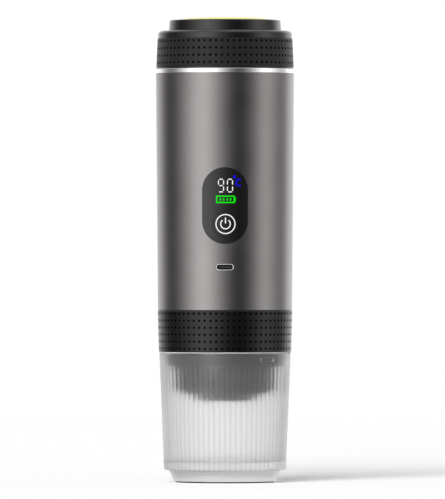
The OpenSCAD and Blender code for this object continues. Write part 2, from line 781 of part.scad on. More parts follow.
module battery_cell_1() { battery_cell(0); }
module battery_cell_2() { battery_cell(1); }
module battery_cell_3() { battery_cell(2); }

// One strap lies under two cells, the other over two cells.
module strap(i, j, w = strap_w, h = strap_t) {
    a = polar(cell_ring, cell_angles[i]);
    b = polar(cell_ring, cell_angles[j]);
    run = b - a;
    translate(a) rotate([0, 0, atan2(run[1], run[0])]) translate([-w / 2, -w / 2, 0])
        cube([norm(run) + w, w, h]);
}

module battery_straps() {
    color("#c5c2b8") {
        translate([0, 0, z_frame1]) strap(0, 1);
        translate([0, 0, z_cell1]) strap(1, 2);
    }
}

// Outline of the pump, with room for the gears and for the suction barb, grown by a gap.
module pump_outline(gap = 0) {
    stadium(2 * (cavity_r + pump_wall + gap), 2 * (cavity_r + pump_wall + pitch_r + gap));
    translate([hose_x, hose_y]) circle(r = hose_d / 2 + gap);
    translate([hose_x / 2, hose_y / 2 + suction_boss_up])
        square([suction_boss_w + 2 * gap, suction_boss_l + 2 * gap], center = true);
    for (p = pump_screw_spots) translate(p) circle(r = pump_boss_r + gap);
}

module pump_cover() {
    color("#c9a24a") difference() {
        union() {
            translate([0, 0, z_frame1]) linear_extrude(cover_t) pump_outline();
            translate([nipple_x, 0, z_spigot0 + needle_sheet + nipple_up]) difference() {
                cylinder(r = nipple_r, h = z_frame1 - z_spigot0 - needle_sheet - nipple_up + eps);
                translate([0, 0, oring_up])
                    ring(nipple_r + 1, nipple_r - oring_groove, oring_groove_h);
            }
        }
        translate([nipple_x, 0, 0]) cylinder(r = nipple_bore_r, h = z_gear0 + 1);
        for (p = pump_screw_spots) translate([p[0], p[1], z_frame1 + 0.5]) cylinder(r = 0.9, h = cover_t);
    }
}

module pump_body() {
    color("#b58f3e") difference() {
        union() {
            translate([0, 0, z_gear0]) linear_extrude(z_pump1 - z_gear0) pump_outline();
            translate([hose_x, hose_y, z_pump1 - eps]) cylinder(r = barb_r, h = pump_barb_l + eps);
        }
        for (s = [-1, 1]) translate([0, s * pitch_r, z_gear0 - 1]) cylinder(r = cavity_r, h = gear_room + 1);
        for (s = [-1, 1]) translate([s * pitch_r, 0, z_gear0 - 1])
            cylinder(r = port_r, h = gear_room + 1);
        translate([0, motor_y, z_gear0]) cylinder(d = shaft_d + 2 * shaft_gap, h = 30);
        translate([0, motor_y, z_pump1 - seal_seat])
            cylinder(r = shaft_d / 2 + seal_w + fit_gap, h = seal_seat + 1);
        translate([0, pitch_r, z_gear0]) cylinder(d = shaft_d + eps, h = gear_room + 3);
        translate([hose_x, hose_y, z_gear0 + 2.4]) cylinder(r = barb_hole_r, h = 30);
        translate([hose_x, hose_y, z_gear0 + 3.2])
            rotate([0, 90, atan2(-hose_y, -pitch_r - hose_x)])
            cylinder(r = barb_hole_r, h = norm([hose_x + pitch_r, hose_y]));
        for (p = pump_screw_spots) translate([p[0], p[1], z_gear0 - 1]) {
            cylinder(r = 1.1, h = 30);
            translate([0, 0, z_pump1 - z_gear0 + 1 - pump_screw_sink])
                cylinder(r = pump_screw_head / 2 + 0.2, h = pump_screw_sink + 1.2);
        }
    }
}

module idler_pin() {
    color("#a9acb0") translate([0, pitch_r, z_gear0 + shaft_gap])
        cylinder(d = shaft_d, h = gear_room + 2.8 - shaft_gap);
}

module shaft_seal() {
    color("#1d1d1f") translate([0, motor_y, z_pump1 - seal_seat])
        ring(shaft_d / 2 + seal_w, shaft_d / 2 + shaft_gap, seal_seat - fit_gap);
}

module outlet_oring() {
    color("#1d1d1f")
        translate([nipple_x, 0, z_spigot0 + needle_sheet + nipple_up + oring_up + fit_gap])
        ring(nipple_r + fit_gap / 2, nipple_r - oring_groove + fit_gap / 2, oring_groove_h - 2 * fit_gap);
}

module pump_screws() {
    color("#8d9093") for (p = pump_screw_spots) translate([p[0], p[1], z_frame1 + 0.7])
        screw(pump_screw_head, pump_screw_cap, pump_screw_d, z_pump1 - pump_screw_sink - z_frame1 - 0.7);
}

module pump_motor() {
    color("#9a9da1") translate([0, motor_y, 0]) difference() {
        rotate_extrude() polygon([[0, z_pump1], [motor_d / 2 - motor_bevel, z_pump1],
            [motor_d / 2, z_pump1 + motor_bevel], [motor_d / 2, z_motor1], [0, z_motor1]]);
        translate([0, 0, z_pump1 - 1]) cylinder(d = shaft_d + 2 * shaft_gap, h = motor_shaft_l + 4);
    }
}

module motor_end_cap() {
    color("#202124") translate([0, motor_y, z_motor1]) {
        cylinder(d = motor_d - end_cap_step, h = end_cap_h);
        translate([0, 0, end_cap_h - eps]) cylinder(d = end_bearing_d, h = end_bearing_h);
        for (s = [-1, 1]) translate([s * tag_x - tag_w / 2, -tag_t / 2, end_cap_h - eps])
            cube([tag_w, tag_t, tag_h]);
    }
}

module suction_tube() {
    z0 = z_pump1 + hose_foot_gap;
    z1 = z_top0 - hose_top_gap;
    color("#d7dadd") translate([hose_x, hose_y, z0]) ring(hose_d / 2, hose_bore_r, z1 - z0);
}

module tank_outlet_fitting() {
    color("#b9bcc0") translate([hose_x, hose_y, 0]) difference() {
        union() {
            translate([0, 0, z_top1 + tank_wall]) cylinder(r = fitting_flange_r, h = fitting_flange_t);
            translate([0, 0, z_top0]) cylinder(r = fitting_r, h = z_top1 + tank_wall - z_top0 + eps);
            translate([0, 0, z_top0 - fitting_barb_l]) cylinder(r = barb_r, h = fitting_barb_l + eps);
        }
        translate([0, 0, z_top0 - fitting_barb_l - 1])
            cylinder(r = barb_hole_r, h = fitting_barb_l + plate_t + tank_wall + fitting_flange_t + 2);
    }
}

module outlet_nut() {
    color("#b9bcc0") translate([hose_x, hose_y, z_top1 - nut_h]) difference() {
        cylinder(r = nut_r, h = nut_h, $fn = 6);
        translate([0, 0, -1]) cylinder(r = fitting_r + fit_gap, h = nut_h + 2);
    }
}

module outlet_strainer() {
    z0 = z_top1 + tank_wall + fitting_flange_t;
    color("#c9ccd0") translate([hose_x, hose_y, z0]) difference() {
        rotate_extrude() polygon(concat([[0, 0], [strainer_r, 0]],
            arc(strainer_r - strainer_bend, strainer_h - strainer_bend, strainer_bend, 0, 90, 4),
            [[0, strainer_h]]));
        translate([0, 0, -1]) cylinder(r = strainer_r - strainer_wall, h = strainer_h - strainer_wall + 1);
        for (i = [-1:1])
            translate([i * strainer_slot_x - strainer_slot_w / 2, -strainer_slot_l / 2, 0])
            cube([strainer_slot_w, strainer_slot_l, strainer_h + 1]);
    }
}

module temperature_probe() {
    z0 = z_top1 + tank_wall;
    color("#c9ccd0") translate([probe_x, probe_y, 0]) rotate_extrude() polygon(concat(
        [[0, z_top0 - probe_tail], [probe_r, z_top0 - probe_tail], [probe_r, z0],
        [probe_flange_r, z0], [probe_flange_r, z0 + probe_flange_t], [probe_r, z0 + probe_flange_t]],
        arc(0, z0 + probe_l, probe_r, 0, 90, 5)));
}

module heater_band() {
    color("#b0714c") translate([0, 0, z_top1 + heater_up]) difference() {
        union() {
            ring(tank_d / 2 + fit_gap + heater_t, tank_d / 2 + fit_gap, heater_h);
            for (s = [-1, 1]) translate([s * heater_lug_x - heater_lug_w / 2,
                tank_d / 2 + heater_t / 2, heater_h / 2 - heater_lug_h / 2])
                cube([heater_lug_w, heater_t / 2 + heater_lug_out, heater_lug_h]);
        }
        translate([-heater_split / 2, 0, -1]) cube([heater_split, tank_d, heater_h + 2]);
    }
}

module water_tank() {
    r = tank_d / 2;
    color("#c9ccd0") difference() {
        rotate_extrude() polygon(concat(
            [[0, z_top1]], arc(r - tank_bend, z_top1 + tank_bend, tank_bend, -90, 0, 5),
            [[r, z_neck1], [tank_rim_r, z_neck1]],
            arc(tank_rim_r - 0.3, z_rim1 - 0.3, 0.3, 0, 90, 3),
            [[r - tank_wall, z_rim1]],
            arc(r - tank_bend, z_top1 + tank_bend, tank_bend - tank_wall, 0, -90, 5),
            [[0, z_top1 + tank_wall]]));
        translate([hose_x, hose_y, z_top1 - 1]) cylinder(r = fitting_r + fit_gap, h = tank_wall + 2);
        translate([probe_x, probe_y, z_top1 - 1]) cylinder(r = probe_r + fit_gap, h = tank_wall + 2);
    }
}

module neck_ring() {
    plug = tube_in(z_tube1 - ring_plug) - fit_gap;
    hole = tank_d / 2 + 0.6;
    color("#d4d6d8") rotate_extrude() polygon([[hole, z_tube1 - ring_plug], [plug, z_tube1 - ring_plug],
        [plug, z_tube1], [tube_r(z_tube1) - 0.3, z_tube1], [tube_r(z_tube1), z_tube1 + 0.3],
        [tube_r(z_tube1), z_ring1 - 0.4], [tube_r(z_tube1) - 0.4, z_ring1],
        [collar_flange_r + fit_gap, z_ring1], [collar_flange_r + fit_gap, z_ring1 - ring_seat],
        [hole, z_ring1 - ring_seat]]);
}

module neck_collar() {
    color("#232427") rotate_extrude() polygon([[collar_in_r, z_ring1 - ring_seat],
        [collar_flange_r, z_ring1 - ring_seat], [collar_flange_r, z_ring1 - 0.1],
        [collar_r, z_ring1 - 0.1], [collar_r, z_neck1], [collar_in_r, z_neck1]]);
}

module control_board() {
    color("#1f5a3a") difference() {
        translate([-board_w / 2, -board_y, z_board0]) cube([board_w, board_t, board_h]);
        for (p = board_screw_spots()) translate([p[0], -board_y - 1, p[1]]) rotate([-90, 0, 0])
            cylinder(r = 1.1, h = board_t + 2);
    }
}

module board_components() {
    back = -board_y + board_t;
    color("#18191b") {
        translate([-chip_w / 2, back, z_board0 + chip_up]) cube([chip_w, chip_t, chip_w]);
        translate([-coil_w / 2, back, z_board0 + coil_up]) cube([coil_w, coil_t, coil_w]);
        translate([-socket_w / 2, back, z_board0 + socket_up]) cube([socket_w, socket_t, socket_h]);
        for (s = [-1, 1]) translate([s * capacitor_x, back, z_board0 + capacitor_up])
            rotate([-90, 0, 0]) cylinder(d = capacitor_d, h = capacitor_l);
    }
}

module board_screws() {
    color("#8d9093") for (p = board_screw_spots()) translate([p[0], -board_y + board_screw_l, p[1]])
        rotate([90, 0, 0]) screw(board_screw_head, board_screw_cap, board_screw_d, board_screw_l);
}

module display_module() {
    color("#e6e7e8") front_prism(z_display, board_y, board_y + display_t)
        square([display_w, display_h], center = true);
}

module display_window() {
    color("#0b0b0d") difference() {
        union() {
            intersection() {
                front_layer(0, tube_wall + window_flange_t);
                front_prism(z_window, window_back_r - 4, body_top_d)
                    stadium(window_w - 2 * fit_gap, window_h - 2 * fit_gap);
            }
            intersection() {
                front_layer(tube_wall + fit_gap, tube_wall + window_flange_t);
                front_prism(z_window, window_back_r - 8, body_top_d)
                    stadium(window_w + 2 * window_lip, window_h + 2 * window_lip);
            }
        }
        front_prism(z_button, window_back_r - 9, body_top_d) circle(r = button_hole_r);
    }
}

module tact_switch() {
    color("#2a2b2e") difference() {
        front_prism(z_button, board_y, board_y + switch_h) square([switch_w, switch_w], center = true);
        front_prism(z_button, button_back - plunger_l - button_travel - 0.2, body_top_d)
            circle(r = plunger_r + shaft_gap);
    }
}

module usb_port() {
    length = usb_front - board_y;
    color("#c9ccd0") {
        difference() {
            front_prism(z_usb, board_y, usb_front) stadium(usb_w, usb_h);
            front_prism(z_usb, board_y + usb_wall, usb_front + 1)
                stadium(usb_w - 2 * usb_skin, usb_h - 2 * usb_skin);
        }
        front_prism(z_usb, board_y + usb_wall - 0.1, board_y + length * 0.85)
            square([usb_tongue_w, usb_tongue_t], center = true);
    }
}

// Power button.
module button_cap() {
    color("#0b0b0d") {
        intersection() {
            front_layer(0, 12);
            front_prism(z_button, button_back + button_flange_t - eps, body_top_d) circle(d = button_d);
        }
        front_prism(z_button, button_back, button_back + button_flange_t) circle(r = button_flange_r);
    }
}

module switch_plunger() {
    color("#b3b5b8") front_prism(z_button, button_back - plunger_l, button_back) circle(r = plunger_r);
}

// Pump gears.
module drive_gear() {
    color("#d8d2c0") translate([0, motor_y, z_gear0 + shaft_gap]) rotate([0, 0, 90])
        linear_extrude(gear_w) difference() {
            polygon(gear_outline());
            circle(d = shaft_d + eps);
        }
}

module drive_shaft() {
    color("#a9acb0") translate([0, motor_y, z_gear0 + shaft_gap])
        cylinder(d = shaft_d, h = z_pump1 - z_gear0 + motor_shaft_l);
}

module idler_gear() {
    color("#d8d2c0") translate([0, pitch_r, z_gear0 + shaft_gap]) rotate([0, 0, 270 + 180 / gear_teeth])
        linear_extrude(gear_w) difference() {
            polygon(gear_outline());
            circle(d = shaft_d + 2 * shaft_gap);
        }
}

// Lid.
module lid_seal() {
    color("#6d6f72") translate([0, 0, z_seal0])
        ring(skirt_r - run_gap, liner_plug_r + run_gap, gasket_t);
}

module lid_cap() {
    r = shoulder_out_r;
    boss_r = boss_d / 2;
    color("#2b2c2f") rotate_extrude() difference() {
        polygon(concat([[0, z_lid0], [lid_r(z_lid0) - 0.3, z_lid0], [lid_r(z_lid0), z_lid0 + 0.3],
            [lid_r(z_lid0), z_lid0 + grip_lip],
            [lid_r(z_lid0 + grip_lip) - grip_t, z_lid0 + grip_lip],
            [lid_r(z_grip1) - grip_t, z_grip1], [r, z_grip1]],
            arc(r - shoulder_r, z_lid1 - shoulder_r, shoulder_r, 0, 90, 6),
            [[boss_r, z_lid1]],
            arc(boss_r - 1.1, z_boss1 - 0.8, 0.8, 0, 90, 4),
            [[0, z_boss1]]));
        translate([0, z_lid0 - 1]) square([skirt_r, z_liner1 - z_lid0 + 1]);
        polygon([[0, z_liner1 - 1], [skirt_r - 2, z_liner1 - 1], [skirt_r - 2, z_liner1],
            [boss_r - 2.4, z_lid1], [boss_r - 2.4, z_boss1 - disc_seat - 1.6],
            [0, z_boss1 - disc_seat - 1.6]]);
        translate([0, z_boss1 - disc_seat]) square([disc_d / 2 + fit_gap, disc_seat + 1]);
    }
}

module lid_grip_band() {
    z0 = z_lid0 + grip_lip + fit_gap;
    z1 = z_grip1 - fit_gap;
    color("#2c2d30") rotate_extrude() polygon([[lid_r(z0) - grip_t + fit_gap, z0],
        [lid_r(z0) - 0.25, z0], [lid_r(z0), z0 + 0.25], [lid_r(z1), z1 - 0.25],
        [lid_r(z1) - 0.25, z1], [lid_r(z1) - grip_t + fit_gap, z1]]);
}

module lid_top_disc() {
    r = disc_d / 2;
    z0 = z_boss1 - disc_seat;
    edge = 0.2;
    rise = disc_rise + edge;
    dome = (r * r + rise * rise) / 2 / rise;
    color("#e2e33c") rotate_extrude() polygon(concat([[0, z0], [r, z0]],
        arc(0, z_disc1 - dome, dome, 90 - asin(r / dome), 90, 10)));
}

module lid_liner() {
    color("#d9d7d0") difference() {
        union() {
            translate([0, 0, z_liner0]) cylinder(r = liner_r, h = liner_t);
            translate([0, 0, z_liner0 - liner_plug_h])
                ring(liner_plug_r, liner_plug_r - liner_plug_wall, liner_plug_h + eps);
        }
        translate([0, 0, z_liner0 - 1]) cylinder(r = valve_r + shaft_gap, h = liner_t + 2);
        for (a = [45:90:315]) rotate([0, 0, a]) translate([valve_vent_ring, 0, z_liner0 - 1])
            cylinder(r = valve_vent_r, h = liner_t + 2);
    }
}

module vent_valve() {
    low = z_liner0 - shaft_gap;
    high = z_liner1 + shaft_gap;
    color("#6d6f72") rotate_extrude() polygon([[0, low - valve_flap_t],
        [valve_flap_r - 0.4, low - valve_flap_t], [valve_flap_r, low], [valve_r, low], [valve_r, high],
        [valve_tail_r, high], [valve_tail_r - 0.9, high + valve_tail_h], [0, high + valve_tail_h]]);
}

cup();
brew_collar();
brew_grip_band();
brew_chamber();
capsule_basket();
lower_needle_plate();
cup_seal();
brew_gasket();
body_tube();
brew_base();
upper_needle_plate();
inner_frame();
frame_top_plate();
frame_screws();
base_screws();
battery_cell_1();
battery_cell_2();
battery_cell_3();
battery_straps();
pump_cover();
pump_body();
idler_pin();
shaft_seal();
outlet_oring();
pump_screws();
pump_motor();
motor_end_cap();
suction_tube();
tank_outlet_fitting();
outlet_nut();
outlet_strainer();
temperature_probe();
heater_band();
water_tank();
neck_ring();
neck_collar();
control_board();
board_components();
board_screws();
display_module();
display_window();
tact_switch();
usb_port();
button_cap();
switch_plunger();
drive_gear();
drive_shaft();
idler_gear();
lid_seal();
lid_cap();
lid_grip_band();
lid_top_disc();
lid_liner();
vent_valve();
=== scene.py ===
"""Looks of a portable capsule coffee maker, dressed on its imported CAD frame.

The maker stands on a lightly frosted, ribbed cup. Over it come the brew head with its dimpled
grip, the anodised body with its display, and the screw lid. Sizes are in millimetres and angles
in degrees until a mesh is made, where they become metres and radians. Angle 0 faces the camera.
"""

import logging
import math
from dataclasses import dataclass, field
from enum import Enum
from typing import Any, Optional, Sequence

import bmesh
import bpy
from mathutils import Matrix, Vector


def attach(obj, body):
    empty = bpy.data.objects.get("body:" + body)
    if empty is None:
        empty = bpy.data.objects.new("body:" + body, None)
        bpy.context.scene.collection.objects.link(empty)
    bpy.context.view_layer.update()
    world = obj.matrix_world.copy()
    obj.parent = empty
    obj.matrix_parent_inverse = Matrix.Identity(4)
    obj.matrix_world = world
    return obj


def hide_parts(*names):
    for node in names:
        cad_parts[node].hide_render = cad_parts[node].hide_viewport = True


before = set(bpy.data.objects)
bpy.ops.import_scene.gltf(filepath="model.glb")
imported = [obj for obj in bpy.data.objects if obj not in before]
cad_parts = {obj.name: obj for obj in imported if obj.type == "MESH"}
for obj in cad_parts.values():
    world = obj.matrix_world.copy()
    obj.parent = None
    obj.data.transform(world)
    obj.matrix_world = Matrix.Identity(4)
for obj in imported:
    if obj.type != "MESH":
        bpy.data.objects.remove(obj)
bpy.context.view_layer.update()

LOG = logging.getLogger("coffee_maker")
MM = 0.001
FULL_TURN = 2.0 * math.pi
# Edges that turn by more than this many degrees stay sharp, unless a piece asks for another angle.
CREASE = 32.0
# Points of a profile that lie closer to the axis than this are one point on it.
AXIS_MM = 1e-6
# Points that a pattern lays on one another are welded within this distance.
WELD_MM = 0.004
# Edges shorter than this, which a cut or a slice leaves behind, are dissolved.
SLIVER_MM = 0.001
# Points closer than this become one, on a whole piece and on small marks.
MERGE_MM = 0.002
FINE_MERGE_MM = 0.0005
# Flats round a turned piece: a large outer form, trim, and what shows through the cup or under it.
OUTER_FLATS = 256
TRIM_FLATS = 192
INNER_FLATS = 160
# Straight run that is left between two round ends, so that no two points fall together.
FLAT_MM = 0.01
# Octaves of a plain noise.
DETAIL = 2.0
# Strokes of the display's marks are laid in steps no longer than this.
STROKE_STEP_MM = 0.8
# Length of a draw line across, against its length upwards.
DRAW_RATIO = 0.02
# Relief times clouding at which a finish shows its shade, and at which it shows its base.
TONE_RANGE = (0.08, 0.42)
# The part of a noise's range in which nearly all of it lies.
NOISE_RANGE = (0.25, 0.75)
# Point attribute of a ribbed piece: one at the bottom of a groove and nought on the crests; it
# places the painted shade in the grooves.
GROOVE_SHADE_MASK = "groove"

Point = tuple[float, float]
Colour = tuple[float, float, float, float]


def grey(level: float) -> Colour:
    """Returns a grey of linear light, with an alpha of one."""
    return level, level, level, 1.0


def linear(colour: str) -> Colour:
    """Turns an sRGB hex colour into linear light.

    Args:
        colour: Six hex digits with a leading hash.

    Returns:
        Red, green, blue and an alpha of one.
    """
    parts = [int(colour[at:at + 2], 16) / 255.0 for at in (1, 3, 5)]
    red, green, blue = [
        part / 12.92 if part <= 0.04045 else ((part + 0.055) / 1.055) ** 2.4 for part in parts
    ]
    return red, green, blue, 1.0


def add(
    tree: bpy.types.NodeTree,
    kind: str,
    inputs: Optional[dict[Any, Any]] = None,
    **settings: Any,
) -> bpy.types.Node:
    """Adds a node to a tree with its settings, values and links.

    Args:
        tree: The node tree that gets the node.
        kind: Blender's name for the kind of node.
        inputs: Input name or index to a plain value or to the output that feeds it.
        settings: Properties of the node itself.

    Returns:
        The new node.
    """
    node = tree.nodes.new(kind)
    for key, value in settings.items():
        setattr(node, key, value)
    for key, value in (inputs or {}).items():
        if isinstance(value, bpy.types.NodeSocket):
            tree.links.new(value, node.inputs[key])
        else:
            node.inputs[key].default_value = value
    return node


def maths(tree: bpy.types.NodeTree, operation: str, *terms: Any) -> bpy.types.NodeSocket:
    """Adds one sum on outputs or plain numbers to a tree and returns its result."""
    return add(tree, "ShaderNodeMath", dict(enumerate(terms)), operation=operation).outputs[0]


class Grain(Enum):
    """How a surface was made, which sets the pattern of its fine relief."""

    MOULDED = "even spark-eroded texture of a moulding"
    BLASTED = "tight matt pits of bead blasting"
    TURNED = "rings that a lathe tool leaves"
    DRAWN = "upright lines of a drawn can"
    MOTTLED = "soft clouding of cast rubber"


# Octaves of the grains whose noise isn't plain.
GRAIN_DETAIL = {Grain.BLASTED: 5.0, Grain.MOTTLED: 1.0}


@dataclass(frozen=True)
class Finish:
    """One surface finish: a real material and the way its surface was made."""

    name: str
    base: str
    shade: str
    roughness: float
    grain: Grain = Grain.MOULDED
    grain_mm: float = 0.4
    relief_mm: float = 0.006
    spread: float = 0.05
    cloud_mm: float = 18.0
    metallic: float = 0.0
    ior: float = 1.5
    coat: float = 0.0
    coat_roughness: float = 0.03
    transmission: float = 0.0
    specular: float = 0.5
    absorb_per_m: float = 0.0
    # Colour of the painted shade laid into a ribbed piece's grooves; none when empty.
    groove: str = ""
    glow: str = ""

    def height(
        self,
        tree: bpy.types.NodeTree,
        place: bpy.types.NodeSocket,
    ) -> bpy.types.NodeSocket:
        """Draws the fine relief of the finish.

        Args:
            tree: The material's nodes.
            place: Object coordinates in metres.

        Returns:
            An output that runs from about nought to one.
        """
        scale = 1.0 / (self.grain_mm * MM)
        if self.grain is Grain.TURNED:
            axes = add(tree, "ShaderNodeSeparateXYZ", {0: place})
            flat = add(tree, "ShaderNodeCombineXYZ", {0: axes.outputs[0], 1: axes.outputs[1]})
            radius = add(tree, "ShaderNodeVectorMath", {0: flat.outputs[0]}, operation="LENGTH")
            along = maths(tree, "ADD", radius.outputs["Value"], axes.outputs[2])
            return add(
                tree, "ShaderNodeTexNoise", {"W": along, "Scale": scale, "Detail": DETAIL},
                noise_dimensions="1D",
            ).outputs["Fac"]
        if self.grain is Grain.DRAWN:
            place = add(
                tree, "ShaderNodeMapping", {"Vector": place, "Scale": (1.0, 1.0, DRAW_RATIO)},
            ).outputs[0]
        detail = GRAIN_DETAIL.get(self.grain, DETAIL)
        return add(
            tree, "ShaderNodeTexNoise", {"Vector": place, "Scale": scale, "Detail": detail},
        ).outputs["Fac"]

    def build(self) -> bpy.types.Material:
        """Makes the material once and hands the same one out after that.

        Returns:
            The material, a Principled shader under its own relief and clouding.
        """
        made = bpy.data.materials.get(self.name)
        if made is not None:
            return made
        material = bpy.data.materials.new(self.name)
        material.use_nodes = True
        tree = material.node_tree
        shader = tree.nodes["Principled BSDF"]
        place = add(tree, "ShaderNodeTexCoord").outputs["Object"]
        relief = self.height(tree, place)
        cloud = add(
            tree, "ShaderNodeTexNoise",
            {"Vector": place, "Scale": 1.0 / (self.cloud_mm * MM), "Detail": DETAIL},
        ).outputs["Fac"]
        blend = maths(tree, "MULTIPLY", relief, cloud)
        tone = add(tree, "ShaderNodeValToRGB", {"Fac": blend})
        for stop, position, shown in zip(
            tone.color_ramp.elements, TONE_RANGE, (self.shade, self.base),
        ):
            stop.position = position
            stop.color = linear(shown)
        gloss = add(
            tree, "ShaderNodeMapRange",
            {
                "Value": cloud, "From Min": NOISE_RANGE[0], "From Max": NOISE_RANGE[1],
                "To Min": self.roughness - self.spread, "To Max": self.roughness + self.spread,
            },
        )
        bump = add(tree, "ShaderNodeBump", {"Height": relief, "Distance": self.relief_mm * MM})
        colour = tone.outputs["Color"]
        # Painted shade: a darker grey is mixed into the colour where the groove mask is high.
        if self.groove:
            sunk = add(tree, "ShaderNodeAttribute", attribute_name=GROOVE_SHADE_MASK).outputs["Fac"]
            colour = add(
                tree, "ShaderNodeMixRGB",
                {"Fac": sunk, "Color1": colour, "Color2": linear(self.groove)},
            ).outputs["Color"]
        tree.links.new(colour, shader.inputs["Base Color"])
        tree.links.new(gloss.outputs[0], shader.inputs["Roughness"])
        tree.links.new(bump.outputs[0], shader.inputs["Normal"])
        for socket, value in (
            ("Metallic", self.metallic),
            ("IOR", self.ior),
            ("Specular IOR Level", self.specular),
            ("Coat Weight", self.coat),
            ("Coat Roughness", self.coat_roughness),
            ("Transmission Weight", self.transmission),
        ):
            shader.inputs[socket].default_value = value
        if self.absorb_per_m > 0.0:
            depth = add(
                tree, "ShaderNodeVolumeAbsorption",
                {"Color": grey(0.0), "Density": self.absorb_per_m},
            )
            tree.links.new(depth.outputs[0], tree.nodes["Material Output"].inputs["Volume"])
        if self.glow:
            shader.inputs["Emission Color"].default_value = linear(self.glow)
            shader.inputs["Emission Strength"].default_value = 1.0
        return material


# Copolyester moulded with a light frost: milky towards its edges, and what is behind it soft.
# Its index is under the plastic's own 1.57, because the real wall hardly bends what shows through.
# Its grooves are painted a darker grey: a painted shade for the dark lines along the ribs.
FROSTED_CUP = Finish(
    "copolyester_moulded_light_frost_painted_groove_shade", "#f8f8f8", "#f4f4f4", 0.285, grain_mm=6.0, relief_mm=0.003,
    spread=0.005, cloud_mm=30.0, ior=1.33, transmission=0.98, absorb_per_m=3.0, groove="#d2d2d2",
)
# Thermoplastic rubber moulded over the brew head's grip: near black, with soft upright streaks.
GRIP_RUBBER = Finish(
    "thermoplastic_rubber_overmoulded", "#080808", "#060606", 0.2, Grain.MOTTLED, grain_mm=0.7,
    relief_mm=0.006, spread=0.04, specular=0.3,
)
# The same rubber with the finer texture of the lid: greyer and duller, so it shows the key light.
LID_RUBBER = Finish(
    "thermoplastic_rubber_matt_overmoulded", "#161616", "#121212", 0.45, Grain.MOTTLED,
    grain_mm=0.5, relief_mm=0.008, spread=0.05, specular=0.22,
)
# Floor of each dimple: dead matt, and painted darker than the band as painted shade, so the rows
# read as dark dots.
DIMPLE_SHADE_RUBBER = Finish(
    "thermoplastic_rubber_dimple_painted_shade", "#040404", "#030303", 0.7, Grain.MOTTLED, grain_mm=0.5,
    relief_mm=0.008, specular=0.1,
)
# ABS moulded in a spark-eroded tool: satin black with a fine even texture.
BLACK_ABS = Finish("black_abs_spark_textured", "#2a2a2b", "#202021", 0.42)
# ABS of the collar, from a polished tool: as black as the rubber that is let into it.
COLLAR_ABS = Finish(
    "black_abs_gloss_moulded", "#0b0b0b", "#090909", 0.22, relief_mm=0.003, specular=0.35,
)
# ABS of the lid: as black, and smooth enough to carry a soft highlight round the shoulder.
LID_ABS = Finish("charcoal_abs_satin_moulded", "#0b0b0c", "#09090a", 0.13, relief_mm=0.002)
# ABS dyed lime: the one bright part, satin, inlaid in the lid.
LIME_ABS = Finish("lime_abs_satin_moulded", "#dfd516", "#d4cb10", 0.36, relief_mm=0.004)
# Aluminium, bead blasted and anodised titanium grey: broad soft bands of light, no mirror.
ANODISED = Finish(
    "aluminium_bead_blasted_anodised", "#848181", "#7c7979", 0.26, Grain.BLASTED, grain_mm=0.35,
    relief_mm=0.004, spread=0.02, metallic=1.0,
)
# Stainless steel ring, turned and polished: mirror bright with hair-fine turning lines.
POLISHED = Finish(
    "stainless_turned_polished", "#f0efed", "#e8e6e4", 0.18, Grain.TURNED, grain_mm=0.12,
    relief_mm=0.0006, spread=0.02, metallic=1.0,
)
# Acrylic window, tinted black from behind and polished: deep gloss over a dark grey.
DARK_ACRYLIC = Finish(
    "acrylic_polished_tinted", "#0d0d0e", "#0b0b0c", 0.16, grain_mm=8.0, relief_mm=0.002,
    spread=0.02, ior=1.49, coat=0.15, specular=0.4,
)
# Light pipes of the display: an even glow in white, blue and green.
WHITE_LIGHT = Finish(
    "light_pipe_white", "#4c4c4c", "#434343", 0.4, grain_mm=0.5, specular=0.2, glow="#f6f6f6",
)
BLUE_LIGHT = Finish(
    "light_pipe_blue", "#04041c", "#030318", 0.4, grain_mm=0.5, specular=0.08, glow="#0000fc",
)
GREEN_LIGHT = Finish(
    "light_pipe_green", "#041c04", "#031803", 0.4, grain_mm=0.5, specular=0.08, glow="#00ea00",
)
# Polypropylene of the brew chamber, from a polished tool: near black, with soft upright streaks.
CHAMBER_PP = Finish(
    "charcoal_polypropylene_moulded", "#0a0b0b", "#080909", 0.2, grain_mm=0.6, ior=1.49,
    coat=0.35, coat_roughness=0.15, specular=0.65,
)
# Stainless sheet, pressed and bead blasted: satin silver with a fine tooth.
STEEL = Finish(
    "stainless_pressed_satin", "#c9c8c6", "#bcbbb9", 0.28, Grain.BLASTED, grain_mm=0.25,
    relief_mm=0.002, metallic=1.0,
)
# Silicone seals, moulded: milky and soft, with a slow clouding.
SILICONE = Finish(
    "silicone_moulded_milky", "#d7d7d2", "#c9c9c4", 0.5, Grain.MOTTLED, grain_mm=1.2, ior=1.41,
)
DARK_SILICONE = Finish(
    "silicone_moulded_charcoal", "#242526", "#1e1f20", 0.5, Grain.MOTTLED, grain_mm=1.2, ior=1.41,
)
RED_SILICONE = Finish(
    "silicone_moulded_red", "#a8392c", "#962f24", 0.5, Grain.MOTTLED, grain_mm=1.2, ior=1.41,
)
# Glass-filled nylon of the inner frame: grey and dull, with a coarse tooth.
FRAME_NYLON = Finish(
    "nylon_glass_filled_moulded", "#6a6c6e", "#56585a", 0.55, grain_mm=0.5, relief_mm=0.015,
    ior=1.53,
)
# Steel cell under a shrunk sleeve: smooth blue film drawn tight over a drawn can.
CELL_SLEEVE = Finish(
    "pvc_shrink_sleeve_blue", "#2f62a8", "#285697", 0.3, Grain.DRAWN, grain_mm=0.6,
    relief_mm=0.006, ior=1.53,
)
# Brass, turned bright: warm yellow with lathe rings.
BRASS = Finish(
    "brass_turned", "#c9a458", "#b9954c", 0.24, Grain.TURNED, grain_mm=0.2, relief_mm=0.002,
    metallic=1.0,
)
# Zinc-plated drawn steel of the motor can: grey with upright draw lines.
MOTOR_STEEL = Finish(
    "steel_drawn_zinc_plated", "#b4b5b4", "#a2a3a3", 0.34, Grain.DRAWN, grain_mm=0.3,
    relief_mm=0.003, metallic=1.0,
)
